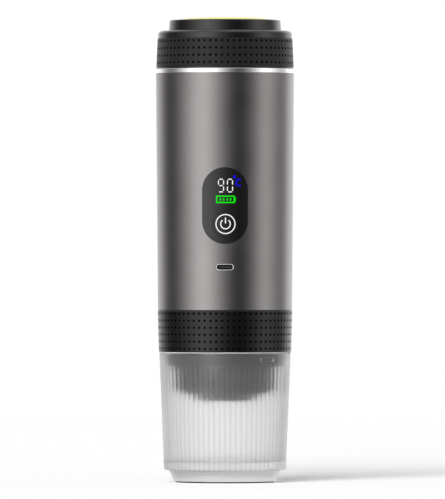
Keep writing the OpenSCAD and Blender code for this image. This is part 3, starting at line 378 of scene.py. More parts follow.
# Etched-foil heater: rolled metal with a dull brown oxide bloom.
HEATER_FOIL = Finish(
    "heater_foil_rolled", "#9c8a78", "#857564", 0.42, Grain.DRAWN, grain_mm=0.5, metallic=1.0,
)
# Glass-epoxy circuit board under solder mask: green and glossy over a slightly uneven laminate.
CIRCUIT_BOARD = Finish(
    "glass_epoxy_solder_mask", "#1f6b3d", "#185a32", 0.32, grain_mm=0.9, relief_mm=0.01, coat=0.3,
)
# Acetal gears, cut: milk white with a low sheen.
ACETAL = Finish("acetal_machined_white", "#e4e2da", "#d8d6ce", 0.3, grain_mm=0.3, ior=1.48)

SLOT_FINISH: dict[str, Finish] = {
    "clear_plastic": FROSTED_CUP,
    "black_plastic": BLACK_ABS,
    "grip_rubber": GRIP_RUBBER,
    "chamber_plastic": CHAMBER_PP,
    "stainless": STEEL,
    "silicone": SILICONE,
    "red_silicone": RED_SILICONE,
    "anodised_body": ANODISED,
    "frame_plastic": FRAME_NYLON,
    "battery_cell": CELL_SLEEVE,
    "pump_brass": BRASS,
    "motor_can": MOTOR_STEEL,
    "heater_metal": HEATER_FOIL,
    "polished_ring": POLISHED,
    "circuit_board": CIRCUIT_BOARD,
    "black_gloss": DARK_ACRYLIC,
    "gear_plastic": ACETAL,
    "lid_plastic": LID_ABS,
    "lime_plastic": LIME_ABS,
}

NODE_FINISH: dict[str, Finish] = {"cup_seal": DARK_SILICONE, "brew_collar": COLLAR_ABS}


def mix(low: float, high: float, share: float) -> float:
    """Returns the value that lies a share of the way from low to high."""
    return low + (high - low) * share


def around(radius: float, angle: float, height: float) -> Vector:
    """Returns the point at a radius, an angle from the front and a height, in metres."""
    turn = math.radians(angle)
    return Vector((radius * math.sin(turn), -radius * math.cos(turn), height)) * MM


def arc(centre: Point, radius: float, start: float, end: float, steps: int) -> list[Point]:
    """Returns points of an arc in a profile, angles counted from outwards towards up."""
    turns = [math.radians(mix(start, end, step / steps)) for step in range(steps + 1)]
    return [(centre[0] + radius * math.cos(t), centre[1] + radius * math.sin(t)) for t in turns]


def clock_arc(centre: Point, radius: float, start: float, end: float, steps: int) -> list[Point]:
    """Returns points of an arc on the front, angles counted clockwise from the top."""
    turns = [math.radians(mix(start, end, step / steps)) for step in range(steps + 1)]
    return [(centre[0] + radius * math.sin(t), centre[1] + radius * math.cos(t)) for t in turns]


def clock_circle(centre: Point, radius: float, count: int) -> list[Point]:
    """Returns a number of points all round a circle on the front, clockwise from the top."""
    return clock_arc(centre, radius, 0.0, 360.0 - 360.0 / count, count - 1)


def turned(
    shape: bmesh.types.BMesh,
    profile: Sequence[Point],
    segments: int,
    closed: bool = True,
) -> None:
    """Turns a profile round the upright axis into a shape.

    Args:
        shape: The shape that gets the faces.
        profile: Radius and height of each point; a radius of nought is one point on the axis.
        segments: Number of flats round the axis.
        closed: Whether the last point joins the first.
    """
    columns: list[list[bmesh.types.BMVert]] = []
    poles = {
        at: shape.verts.new((0.0, 0.0, height * MM))
        for at, (radius, height) in enumerate(profile) if radius < AXIS_MM
    }
    for segment in range(segments):
        angle = 360.0 * segment / segments
        columns.append([
            poles[at] if at in poles else shape.verts.new(around(radius, angle, height))
            for at, (radius, height) in enumerate(profile)
        ])
    last = len(profile) if closed else len(profile) - 1
    for segment in range(segments):
        here = columns[segment]
        there = columns[(segment + 1) % segments]
        for low in range(last):
            high = (low + 1) % len(profile)
            corners = list(dict.fromkeys((here[low], there[low], there[high], here[high])))
            if len(corners) > 2:
                shape.faces.new(corners)


def finish_mesh(mesh: bpy.types.Mesh, crease: float = CREASE) -> None:
    """Smooths a mesh apart from its creases.

    Args:
        mesh: The mesh to shade.
        crease: Edges that turn by more than this many degrees stay sharp.
    """
    mesh.polygons.foreach_set("use_smooth", [True] * len(mesh.polygons))
    mesh.set_sharp_from_angle(angle=math.radians(crease))
    mesh.update()


def make_piece(
    name: str,
    shape: bmesh.types.BMesh,
    finish: Finish,
    crease: float = CREASE,
    merge_mm: float = MERGE_MM,
) -> bpy.types.Object:
    """Turns a shape into an object with its finish.

    Args:
        name: Name of the piece.
        shape: Its faces, in metres; it is freed here.
        finish: What it is made of.
        crease: Edges that turn by more than this many degrees stay sharp.
        merge_mm: Points closer than this become one.

    Returns:
        The object, at the origin.
    """
    bmesh.ops.remove_doubles(shape, verts=shape.verts, dist=merge_mm * MM)
    bmesh.ops.recalc_face_normals(shape, faces=shape.faces)
    mesh = bpy.data.meshes.new(name)
    shape.to_mesh(mesh)
    shape.free()
    mesh.materials.append(finish.build())
    finish_mesh(mesh, crease)
    piece = bpy.data.objects.new(name, mesh)
    bpy.context.scene.collection.objects.link(piece)
    return piece


def turned_piece(
    name: str,
    profile: Sequence[Point],
    segments: int,
    finish: Finish,
) -> bpy.types.Object:
    """Turns a closed profile into an object with its finish.

    Args:
        name: Name of the piece.
        profile: Radius and height of each point, in order round the section.
        segments: Number of flats round the axis.
        finish: What the piece is made of.

    Returns:
        The object, at the origin.
    """
    shape = bmesh.new()
    turned(shape, profile, segments)
    return make_piece(name, shape, finish)


def settle(piece: bpy.types.Object, crease: float = CREASE) -> None:
    """Turns a piece's modifiers into plain mesh.

    Args:
        piece: The piece whose modifiers are applied and removed.
        crease: Edges that turn by more than this many degrees stay sharp.
    """
    graph = bpy.context.evaluated_depsgraph_get()
    mesh = bpy.data.meshes.new_from_object(piece.evaluated_get(graph), depsgraph=graph)
    piece.modifiers.clear()
    piece.data = mesh
    finish_mesh(mesh, crease)


class Cut(Enum):
    """What is done with a second shape on a piece, in the modifier's own words."""

    REMOVE = "DIFFERENCE"
    JOIN = "UNION"


def combine(
    piece: bpy.types.Object,
    cutter: bmesh.types.BMesh,
    way: Cut = Cut.REMOVE,
    crease: float = CREASE,
) -> None:
    """Cuts a shape out of a piece or joins it on.

    Args:
        piece: The piece that is changed.
        cutter: The second shape; it is freed here.
        way: Whether it is taken away or joined.
        crease: Edges that turn by more than this many degrees stay sharp.
    """
    bmesh.ops.recalc_face_normals(cutter, faces=cutter.faces)
    mesh = bpy.data.meshes.new("cutter")
    cutter.to_mesh(mesh)
    cutter.free()
    tool = bpy.data.objects.new("cutter", mesh)
    bpy.context.scene.collection.objects.link(tool)
    cut = piece.modifiers.new("cut", "BOOLEAN")
    cut.operation = way.value
    cut.solver = "EXACT"
    cut.object = tool
    settle(piece, crease)
    bpy.data.objects.remove(tool)
    bpy.data.meshes.remove(mesh)
    drop_slivers(piece)
    finish_mesh(piece.data, crease)


def drop_slivers(piece: bpy.types.Object) -> None:
    """Dissolves the faces without any area that a cut leaves behind.

    Args:
        piece: The piece, a plain mesh.
    """
    shape = bmesh.new()
    shape.from_mesh(piece.data)
    bmesh.ops.dissolve_degenerate(shape, dist=SLIVER_MM * MM, edges=shape.edges)
    shape.to_mesh(piece.data)
    shape.free()


def stadium(width: float, height: float, corner: float, steps: int = 10) -> list[Point]:
    """Returns the outline of a rectangle with round corners, centred on nought."""
    outline: list[Point] = []
    for quarter, (side, end) in enumerate(((1, 1), (-1, 1), (-1, -1), (1, -1))):
        centre = (side * (width / 2 - corner), end * (height / 2 - corner))
        outline += arc(centre, corner, 90.0 * quarter, 90.0 * quarter + 90.0, steps)
    return outline


def bridge(
    shape: bmesh.types.BMesh,
    here: Sequence[bmesh.types.BMVert],
    there: Sequence[bmesh.types.BMVert],
) -> None:
    """Joins two rings of as many points by a band of faces."""
    for at in range(len(here)):
        after = (at + 1) % len(here)
        shape.faces.new((here[at], here[after], there[after], there[at]))


def radial_block(
    outline: Sequence[Point],
    height: float,
    angle: float,
    inner: float,
    outer: float,
    flare: float = 0.0,
) -> bmesh.types.BMesh:
    """Makes a straight or flared block that runs outwards through a wall.

    Args:
        outline: The block's section, across and up.
        height: Height of the section's centre.
        angle: Direction of the block from the front.
        inner: Distance of its near end from the axis.
        outer: Distance of its far end.
        flare: How far the section grows on each side by the far end; below nought it narrows.

    Returns:
        The block's shape.
    """
    turn = math.radians(angle)
    across = Vector((math.cos(turn), math.sin(turn), 0.0))
    out = Vector((math.sin(turn), -math.cos(turn), 0.0))
    shape = bmesh.new()
    half = max(x for x, _ in outline)
    rise = max(z for _, z in outline)
    ends = []
    for reach, grow in ((inner, 0.0), (outer, flare)):
        wide, tall = 1.0 + grow / half, 1.0 + grow / rise
        end = []
        for x, z in outline:
            spot = out * reach + across * x * wide
            spot.z = height + z * tall
            end.append(shape.verts.new(spot * MM))
        shape.faces.new(end)
        ends.append(end)
    bridge(shape, ends[0], ends[1])
    return shape


class Pattern:
    """A Geometry Nodes tree with named inputs, run once into a plain mesh."""

    def __init__(self, name: str) -> None:
        """Starts an empty tree with a geometry input and output."""
        self.name = name
        self.tree = bpy.data.node_groups.new(name, "GeometryNodeTree")
        for way in ("INPUT", "OUTPUT"):
            self.tree.interface.new_socket("Geometry", in_out=way, socket_type="NodeSocketGeometry")
        self.start = self.tree.nodes.new("NodeGroupInput")
        self.end = self.tree.nodes.new("NodeGroupOutput")
        self.values: dict[str, Any] = {}

    def size(self, name: str, value: Any) -> bpy.types.NodeSocket:
        """Adds a named input for a size.

        Args:
            name: The input's name.
            value: Its value, a whole number for a count and metres for a length.

        Returns:
            The output of the group's input node.
        """
        kind = "NodeSocketInt" if isinstance(value, int) else "NodeSocketFloat"
        socket = self.tree.interface.new_socket(name, in_out="INPUT", socket_type=kind)
        self.values[socket.identifier] = value
        return self.start.outputs[name]

    def sum(self, operation: str, *terms: Any) -> bpy.types.NodeSocket:
        """Returns the result of one sum on outputs or plain numbers."""
        return maths(self.tree, operation, *terms)

    def point(self, x: Any, y: Any, z: Any) -> bpy.types.NodeSocket:
        """Returns a vector put together from three outputs or numbers."""
        return add(self.tree, "ShaderNodeCombineXYZ", {0: x, 1: y, 2: z}).outputs[0]

    def ring(
        self,
        shape: bpy.types.NodeSocket,
        count: bpy.types.NodeSocket,
    ) -> bpy.types.NodeSocket:
        """Repeats a shape round the upright axis.

        Args:
            shape: The geometry that is repeated.
            count: How many times it stands round the full turn.

        Returns:
            The instances.
        """
        tree = self.tree
        spots = add(tree, "GeometryNodeMeshLine", {"Count": count, "Offset": (0.0, 0.0, 0.0)})
        index = add(tree, "GeometryNodeInputIndex").outputs[0]
        step = self.sum("DIVIDE", FULL_TURN, count)
        turn = self.point(0.0, 0.0, self.sum("MULTIPLY", index, step))
        whole = add(tree, "GeometryNodeGeometryToInstance", {0: shape}).outputs[0]
        return add(
            tree, "GeometryNodeInstanceOnPoints",
            {"Points": spots.outputs[0], "Instance": whole, "Rotation": turn},
        ).outputs[0]

    def run(
        self,
        geometry: bpy.types.NodeSocket,
        finish: Finish,
        seed: Optional[bmesh.types.BMesh] = None,
        crease: float = CREASE,
    ) -> bpy.types.Object:
        """Closes the tree and turns its result into a plain mesh.

        Args:
            geometry: What the tree has made.
            finish: The finish that it is set to.
            seed: The shape that the tree works on, freed here, or nothing.
            crease: Edges that turn by more than this many degrees stay sharp.

        Returns:
            The object, with no modifier left on it.
        """
        tree = self.tree
        real = add(tree, "GeometryNodeRealizeInstances", {0: geometry}).outputs[0]
        dressed = add(
            tree, "GeometryNodeSetMaterial", {"Geometry": real, "Material": finish.build()},
        ).outputs[0]
        tree.links.new(dressed, self.end.inputs[0])
        mesh = bpy.data.meshes.new(self.name)
        if seed is not None:
            seed.to_mesh(mesh)
            seed.free()
        piece = bpy.data.objects.new(self.name, mesh)
        bpy.context.scene.collection.objects.link(piece)
        modifier = piece.modifiers.new("pattern", "NODES")
        modifier.node_group = tree
        for identifier, value in self.values.items():
            modifier[identifier] = value
        settle(piece, crease)
        piece.data.materials.clear()
        piece.data.materials.append(finish.build())
        piece.data.polygons.foreach_set("material_index", [0] * len(piece.data.polygons))
        return piece


def weld(
    piece: bpy.types.Object,
    extra: Optional[bmesh.types.BMesh] = None,
    crease: float = CREASE,
) -> None:
    """Merges a piece's touching points, with more faces if given, and turns its faces outwards.

    Args:
        piece: The piece, a plain mesh.
        extra: More faces that close it, freed here, or nothing.
        crease: Edges that turn by more than this many degrees stay sharp.
    """
    shape = bmesh.new()
    shape.from_mesh(piece.data)
    if extra is not None:
        spare = bpy.data.meshes.new("extra")
        extra.to_mesh(spare)
        extra.free()
        shape.from_mesh(spare)
        bpy.data.meshes.remove(spare)
    bmesh.ops.remove_doubles(shape, verts=shape.verts, dist=WELD_MM * MM)
    bmesh.ops.recalc_face_normals(shape, faces=shape.faces)
    shape.to_mesh(piece.data)
    shape.free()
    finish_mesh(piece.data, crease)


@dataclass
class Thread:
    """The rounded starts of a right-hand screw thread, half sunk in the wall that carries them."""

    name: str
    finish: Finish
    radius: float
    foot: float
    lead: float
    turns: float
    starts: int = 6
    bead: float = 0.7
    bead_sides: int = 10
    path_points: int = 41
    # Share of its full size that a start has at its ends, and how fast that grows with its length.
    end_size: float = 0.35
    growth: float = 6.0
    crease: float = 50.0

    def build(self) -> bpy.types.Object:
        """Winds the starts, each growing from a small end to its full size and back.

        Returns:
            The thread as one piece.
        """
        plan = Pattern(self.name)
        wall = plan.size("Wall radius", self.radius * MM)
        base = plan.size("Foot height", self.foot * MM)
        rise = plan.size("Rise of a start", self.lead * self.turns * MM)
        sweep = plan.size("Sweep of a start", self.turns * FULL_TURN)
        count = plan.size("Starts", self.starts)
        round_size = plan.size("Bead radius", self.bead * MM)
        tree = plan.tree
        line = add(tree, "GeometryNodeCurvePrimitiveLine").outputs[0]
        path = add(
            tree, "GeometryNodeResampleCurve", {"Curve": line, "Count": self.path_points},
        ).outputs[0]
        share = add(tree, "GeometryNodeSplineParameter").outputs["Factor"]
        angle = plan.sum("MULTIPLY", share, sweep)
        place = plan.point(
            plan.sum("MULTIPLY", wall, plan.sum("COSINE", angle)),
            plan.sum("MULTIPLY", wall, plan.sum("SINE", angle)),
            plan.sum("MULTIPLY_ADD", share, rise, base),
        )
        wound = add(
            tree, "GeometryNodeSetPosition", {"Geometry": path, "Position": place},
        ).outputs[0]
        near_end = plan.sum("MINIMUM", share, plan.sum("SUBTRACT", 1.0, share))
        grown = plan.sum("MULTIPLY_ADD", near_end, self.growth, self.end_size)
        section = add(
            tree, "GeometryNodeCurvePrimitiveCircle",
            {"Resolution": self.bead_sides, "Radius": round_size},
        ).outputs[0]
        ridge = add(
            tree, "GeometryNodeCurveToMesh",
            {
                "Curve": wound, "Profile Curve": section, "Fill Caps": True,
                "Scale": plan.sum("MINIMUM", grown, 1.0),
            },
        ).outputs[0]
        piece = plan.run(plan.ring(ridge, count), self.finish, crease=self.crease)
        weld(piece, crease=self.crease)
        return piece


@dataclass
class DimpledBand:
    """A rubber grip band with rows of round dimples, wrapped on a slightly tapered wall."""

    name: str
    body: str
    node: str
    low: float
    high: float
    low_radius: float
    high_radius: float
    first_row: float
    row_pitch: float
    rows: int
    finish: Finish = GRIP_RUBBER
    columns: int = 72
    thickness: float = 1.1
    edge: float = 0.06
    dimple_radius: float = 0.65
    dimple_depth: float = 0.95
    # Shares of a dimple's radius and depth, from its edge to its floor.
    dimple_rings: tuple[Point, ...] = ((1.0, 0.0), (0.86, 0.85))
    # Shares of a dimple's depth between which a face takes the duller finish with the painted
    # shade.
    painted_shade_depths: Point = (0.25, 1.05)
    sides: int = 4

    def wall(self, height: float) -> float:
        """Returns the band's outer radius at a height."""
        return mix(self.low_radius, self.high_radius, (height - self.low) / (self.high - self.low))

    def tile(self) -> bmesh.types.BMesh:
        """Makes one unrolled tile of 48 faces: columns across, metres up, metres outwards.

        Returns:
            The tile's shape, with its dimple sunk in the middle.
        """
        column_mm = math.pi * (self.low_radius + self.high_radius) / self.columns
        part = self.row_pitch / self.sides
        half = self.row_pitch / 2.0
        across = [(-0.5 + at / self.sides, -half) for at in range(self.sides)]
        across += [(0.5, at * part - half) for at in range(self.sides)]
        across += [(0.5 - at / self.sides, half) for at in range(self.sides)]
        across += [(-0.5, half - at * part) for at in range(self.sides)]
        shape = bmesh.new()
        border = [shape.verts.new((x, z * MM, 0.0)) for x, z in across]
        rings = [border]
        for share, depth in self.dimple_rings:
            ring = []
            for x, z in across:
                turn = math.atan2(z, x * column_mm)
                reach = self.dimple_radius * share
                ring.append(shape.verts.new((
                    reach * math.cos(turn) / column_mm,
                    reach * math.sin(turn) * MM,
                    -self.dimple_depth * depth * MM,
                )))
            rings.append(ring)
        centre = shape.verts.new((0.0, 0.0, -self.dimple_depth * MM))
        for at in range(len(across)):
            after = (at + 1) % len(across)
            for outer, inner in zip(rings, rings[1:]):
                shape.faces.new((outer[at], outer[after], inner[after], inner[at]))
            shape.faces.new((rings[-1][at], rings[-1][after], centre))
        return shape

    def build(self) -> bpy.types.Object:
        """Lays the tiles round the band and closes them with its edges and inner wall.

        Returns:
            The band, standing for its CAD node.
        """
        plan = Pattern(self.name)
        columns = plan.size("Dimples round the band", self.columns)
        rows = plan.size("Rows of dimples", self.rows)
        pitch = plan.size("Row pitch", self.row_pitch * MM)
        first = plan.size("First row", self.first_row * MM)
        floor = plan.size("Lowest dimpled height", (self.low + self.edge) * MM)
        roof = plan.size("Highest dimpled height", (self.high - self.edge) * MM)
        foot = plan.size("Radius at height nought", self.wall(0.0) * MM)
        slope = plan.size("Growth of radius with height", self.wall(1.0) - self.wall(0.0))
        tree = plan.tree
        spots = add(
            tree, "GeometryNodeMeshGrid",
            {
                "Size X": plan.sum("SUBTRACT", columns, 1.0),
                "Size Y": plan.sum("MULTIPLY", plan.sum("SUBTRACT", rows, 1.0), pitch),
                "Vertices X": columns,
                "Vertices Y": rows,
            },
        ).outputs[0]
        whole = add(tree, "GeometryNodeGeometryToInstance", {0: plan.start.outputs[0]}).outputs[0]
        laid = add(
            tree, "GeometryNodeInstanceOnPoints", {"Points": spots, "Instance": whole},
        ).outputs[0]
        real = add(tree, "GeometryNodeRealizeInstances", {0: laid}).outputs[0]
        spot = add(tree, "GeometryNodeInputPosition").outputs[0]
        flat = add(tree, "ShaderNodeSeparateXYZ", {0: spot})
        angle = plan.sum("MULTIPLY", flat.outputs[0], plan.sum("DIVIDE", FULL_TURN, columns))
        half_pitch = plan.sum("MULTIPLY", pitch, 0.5)
        half = plan.sum("MULTIPLY", plan.sum("SUBTRACT", rows, 1.0), half_pitch)
        rise = plan.sum("ADD", plan.sum("ADD", flat.outputs[1], half), first)
        height = plan.sum("MINIMUM", plan.sum("MAXIMUM", rise, floor), roof)
        reach = plan.sum("ADD", plan.sum("MULTIPLY_ADD", height, slope, foot), flat.outputs[2])
        wrapped = plan.point(
            plan.sum("MULTIPLY", reach, plan.sum("SINE", angle)),
            plan.sum("MULTIPLY", reach, plan.sum("MULTIPLY", plan.sum("COSINE", angle), -1.0)),
            height,
        )
        band = add(
            tree, "GeometryNodeSetPosition", {"Geometry": real, "Position": wrapped},
        ).outputs[0]
        piece = plan.run(band, self.finish, seed=self.tile())
        weld(piece, self.rim())
        self.paint_dimple_shade(piece)
        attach(piece, self.body)
        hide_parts(self.node)
        return piece

    def rim(self) -> bmesh.types.BMesh:
        """Turns the band's edges and inner wall, open where the tiles go.

        Returns:
            The shape that closes the tiles.
        """
        low = self.low + self.edge
        high = self.high - self.edge
        tiles_low = max(low, self.first_row - self.row_pitch / 2)
        tiles_high = min(high, self.first_row + (self.rows - 0.5) * self.row_pitch)
        profile = [
            (self.wall(tiles_high), tiles_high),
            (self.wall(high), high),
            (self.wall(self.high) - self.edge, self.high),
            (self.wall(self.high) - self.thickness, self.high),
            (self.wall(self.low) - self.thickness, self.low),
            (self.wall(self.low) - self.edge, self.low),
            (self.wall(low), low),
            (self.wall(tiles_low), tiles_low),
        ]
        shape = bmesh.new()
        turned(shape, profile, self.columns * self.sides, closed=False)
        return shape

    def paint_dimple_shade(self, piece: bpy.types.Object) -> None:
        """Gives the faces inside the dimples a duller finish, painted darker as painted shade.

        Args:
            piece: The band, as a plain mesh.
        """
        piece.data.materials.append(DIMPLE_SHADE_RUBBER.build())
        shallow, deep = self.painted_shade_depths
        for face in piece.data.polygons:
            sunk = self.wall(face.center.z / MM) - face.center.xy.length / MM
            if self.dimple_depth * shallow < sunk < self.dimple_depth * deep:
                face.material_index = 1


@dataclass
class Cup:
    """The frosted drinking cup: a stepped foot, a ribbed wall and a plain rim with a vent."""

    foot_height: float = 6.4
    rim: float = 65.6
    step_radius: float = 30.9
    rim_radius: float = 33.3
    wall: float = 2.2
    floor: float = 10.6
    corner: float = 0.5
    floor_radius: float = 16.0
    hollow: float = 0.8
    hollow_radii: Point = (12.0, 21.2)
    seat_radii: Point = (21.4, 25.3)
    # Radius and height of each point up the side of the foot.
    foot_side: tuple[Point, ...] = (
        (25.8, 0.75), (26.1, 1.1), (28.1, 5.7), (28.4, 6.05), (28.9, 6.2),
    )
    # Heights of the rows of points: along the ribs, at their ends with the share of the depth that
    # is left there, on the rim, and down the inside.
    rib_rows: tuple[float, ...] = (14.0, 24.0, 34.0, 44.0, 52.0, 57.0)
    rib_ends: tuple[Point, ...] = ((58.2, 0.85), (58.9, 0.4), (59.2, 0.0))
    rim_rows: tuple[float, ...] = (59.6, 62.0, 64.4)
    inner_rows: tuple[float, ...] = (60.0, 50.0, 40.0, 30.0, 20.0)
    lip_round: float = 0.6
    ribs: int = 72
    rib_depth: float = 0.2
    rib_steps: int = 8
    crease: float = 38.0
    vent: Point = (9.9, 3.3)
    vent_height: float = 62.3
    vent_angle: float = 40.0
    vent_root: float = 0.6
    vent_rise: float = 0.5
    vent_draft: float = 0.7
    vent_crease: float = 25.0
    slot: Point = (7.8, 1.4)
    slot_floor: float = 0.05
    slot_reach: float = 3.0
    slot_draft: float = 2.2
    # The dark ring under the foot is a painted contact shadow: its height, radii and rounded edge.
    ring_height: float = 0.55
    ring_inner: float = 23.6
    ring_outer: float = 25.0
    ring_edge: float = 0.1

    def radius(self, height: float) -> float:
        """Returns the outer radius of the plain wall at a height."""
        share = (height - self.foot_height) / (self.rim - self.foot_height)
        return mix(self.step_radius, self.rim_radius, share)

    def outside(self) -> list[tuple[float, float, float]]:
        """Lists the outer profile from the middle of the foot up to the lip.

        Returns:
            Radius, height and share of the ribs' depth of each point.
        """
        foot = [(0.0, self.hollow), *((radius, self.hollow) for radius in self.hollow_radii)]
        foot += [(radius, self.ring_height) for radius in self.seat_radii]
        points = [(radius, height, 0.0) for radius, height in (*foot, *self.foot_side)]
        step = self.foot_height
        points.append((self.step_radius - 1.0, step - 0.15, 0.4))
        points.append((self.radius(step + 0.1) - 0.25, step, 0.8))
        points.append((self.radius(step + 0.4), step + 0.4, 1.0))
        points += [(self.radius(height), height, 1.0) for height in self.rib_rows]
        points += [(self.radius(height), height, share) for height, share in self.rib_ends]
        points += [(self.radius(height), height, 0.0) for height in self.rim_rows]
        high = self.rim - self.lip_round
        centre = (self.radius(high) - self.lip_round, high)
        lip = arc(centre, self.lip_round, 0.0, 90.0, steps=4)
        return points + [(radius, height, 0.0) for radius, height in lip]

    def inside(self) -> list[tuple[float, float, float]]:
        """Lists the plain inner profile from the lip down to the middle of the floor.

        Returns:
            Radius, height and a rib share of nought of each point.
        """
        bore = self.radius(self.rim) - self.wall
        points = [(bore + 0.4, self.rim), (bore + 0.1, self.rim - 0.15), (bore, self.rim - 0.5)]
        points += [(self.radius(height) - self.wall, height) for height in self.inner_rows]
        low = self.floor + self.corner
        middle = self.radius(low) - self.wall - self.corner
        points += arc((middle, low), self.corner, 0.0, -90.0, steps=5)
        points += [(self.floor_radius, self.floor), (0.0, self.floor)]
        return [(radius, height, 0.0) for radius, height in points]

    def sector(self) -> bmesh.types.BMesh:
        """Makes the slice of the cup that carries one rib.

        Returns:
            The slice, open at its two sides.
        """
        shape = bmesh.new()
        groove = shape.verts.layers.float.new(GROOVE_SHADE_MASK)
        span = 360.0 / self.ribs
        profile = self.outside() + self.inside()
        columns = []
        for step in range(self.rib_steps + 1):
            share = step / self.rib_steps
            sunk = (1.0 - math.sin(math.pi * share)) ** 2
            column = []
            for radius, height, rib in profile:
                reach = radius - self.rib_depth * sunk * rib
                point = shape.verts.new(around(reach, span * share, height))
                # The groove mask, which places the painted shade in the grooves.
                point[groove] = sunk * rib
                column.append(point)
            columns.append(column)
        for here, there in zip(columns, columns[1:]):
            for low in range(len(profile) - 1):
                shape.faces.new((here[low], there[low], there[low + 1], here[low + 1]))
        bmesh.ops.remove_doubles(shape, verts=shape.verts, dist=SLIVER_MM * MM)
        return shape

    def build(self) -> list[bpy.types.Object]:
        """Rings the slices into the whole cup, adds its vent and sets it on its painted contact
        shadow.

        Returns:
            The cup and its foot ring.
        """
        plan = Pattern("ribbed_cup")
        count = plan.size("Ribs", self.ribs)
        whole = plan.ring(plan.start.outputs[0], count)
        piece = plan.run(whole, FROSTED_CUP, seed=self.sector())
        weld(piece, crease=self.crease)
        self.add_vent(piece)
        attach(piece, "cup")
        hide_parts("cup")
        return [piece, self.foot_ring()]

    def add_vent(self, piece: bpy.types.Object) -> None:
        """Raises the vent's rim on the wall and sinks its slot.

        Args:
            piece: The cup, a plain mesh.
        """
        reach = self.radius(self.vent_height)
        place = (self.vent_height, self.vent_angle)
        land = stadium(self.vent[0], self.vent[1], self.vent[1] / 2)
        root, top = reach - self.vent_root, reach + self.vent_rise
        rim = radial_block(land, *place, root, top, -self.vent_draft)
        combine(piece, rim, Cut.JOIN, self.vent_crease)
        slot = stadium(self.slot[0], self.slot[1], self.slot[1] / 2)
        floor, out = reach + self.slot_floor, reach + self.slot_reach
        sunk = radial_block(slot, *place, floor, out, self.slot_draft)
        combine(piece, sunk, Cut.REMOVE, self.vent_crease)

    def foot_ring(self) -> bpy.types.Object:
        """Turns the thin dark ring under the foot: a painted contact shadow, where there is only
        shade.

        Returns:
            The ring.
        """
        inner, outer, edge = self.ring_inner, self.ring_outer, self.ring_edge
        profile = [(inner, edge), (inner + edge, 0.0), (outer - edge, 0.0), (outer, edge)]
        profile += [(outer, self.ring_height), (inner, self.ring_height)]
        piece = turned_piece("cup_contact_shadow_ring", profile, INNER_FLATS, DARK_SILICONE)
        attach(piece, "cup")
        return piece


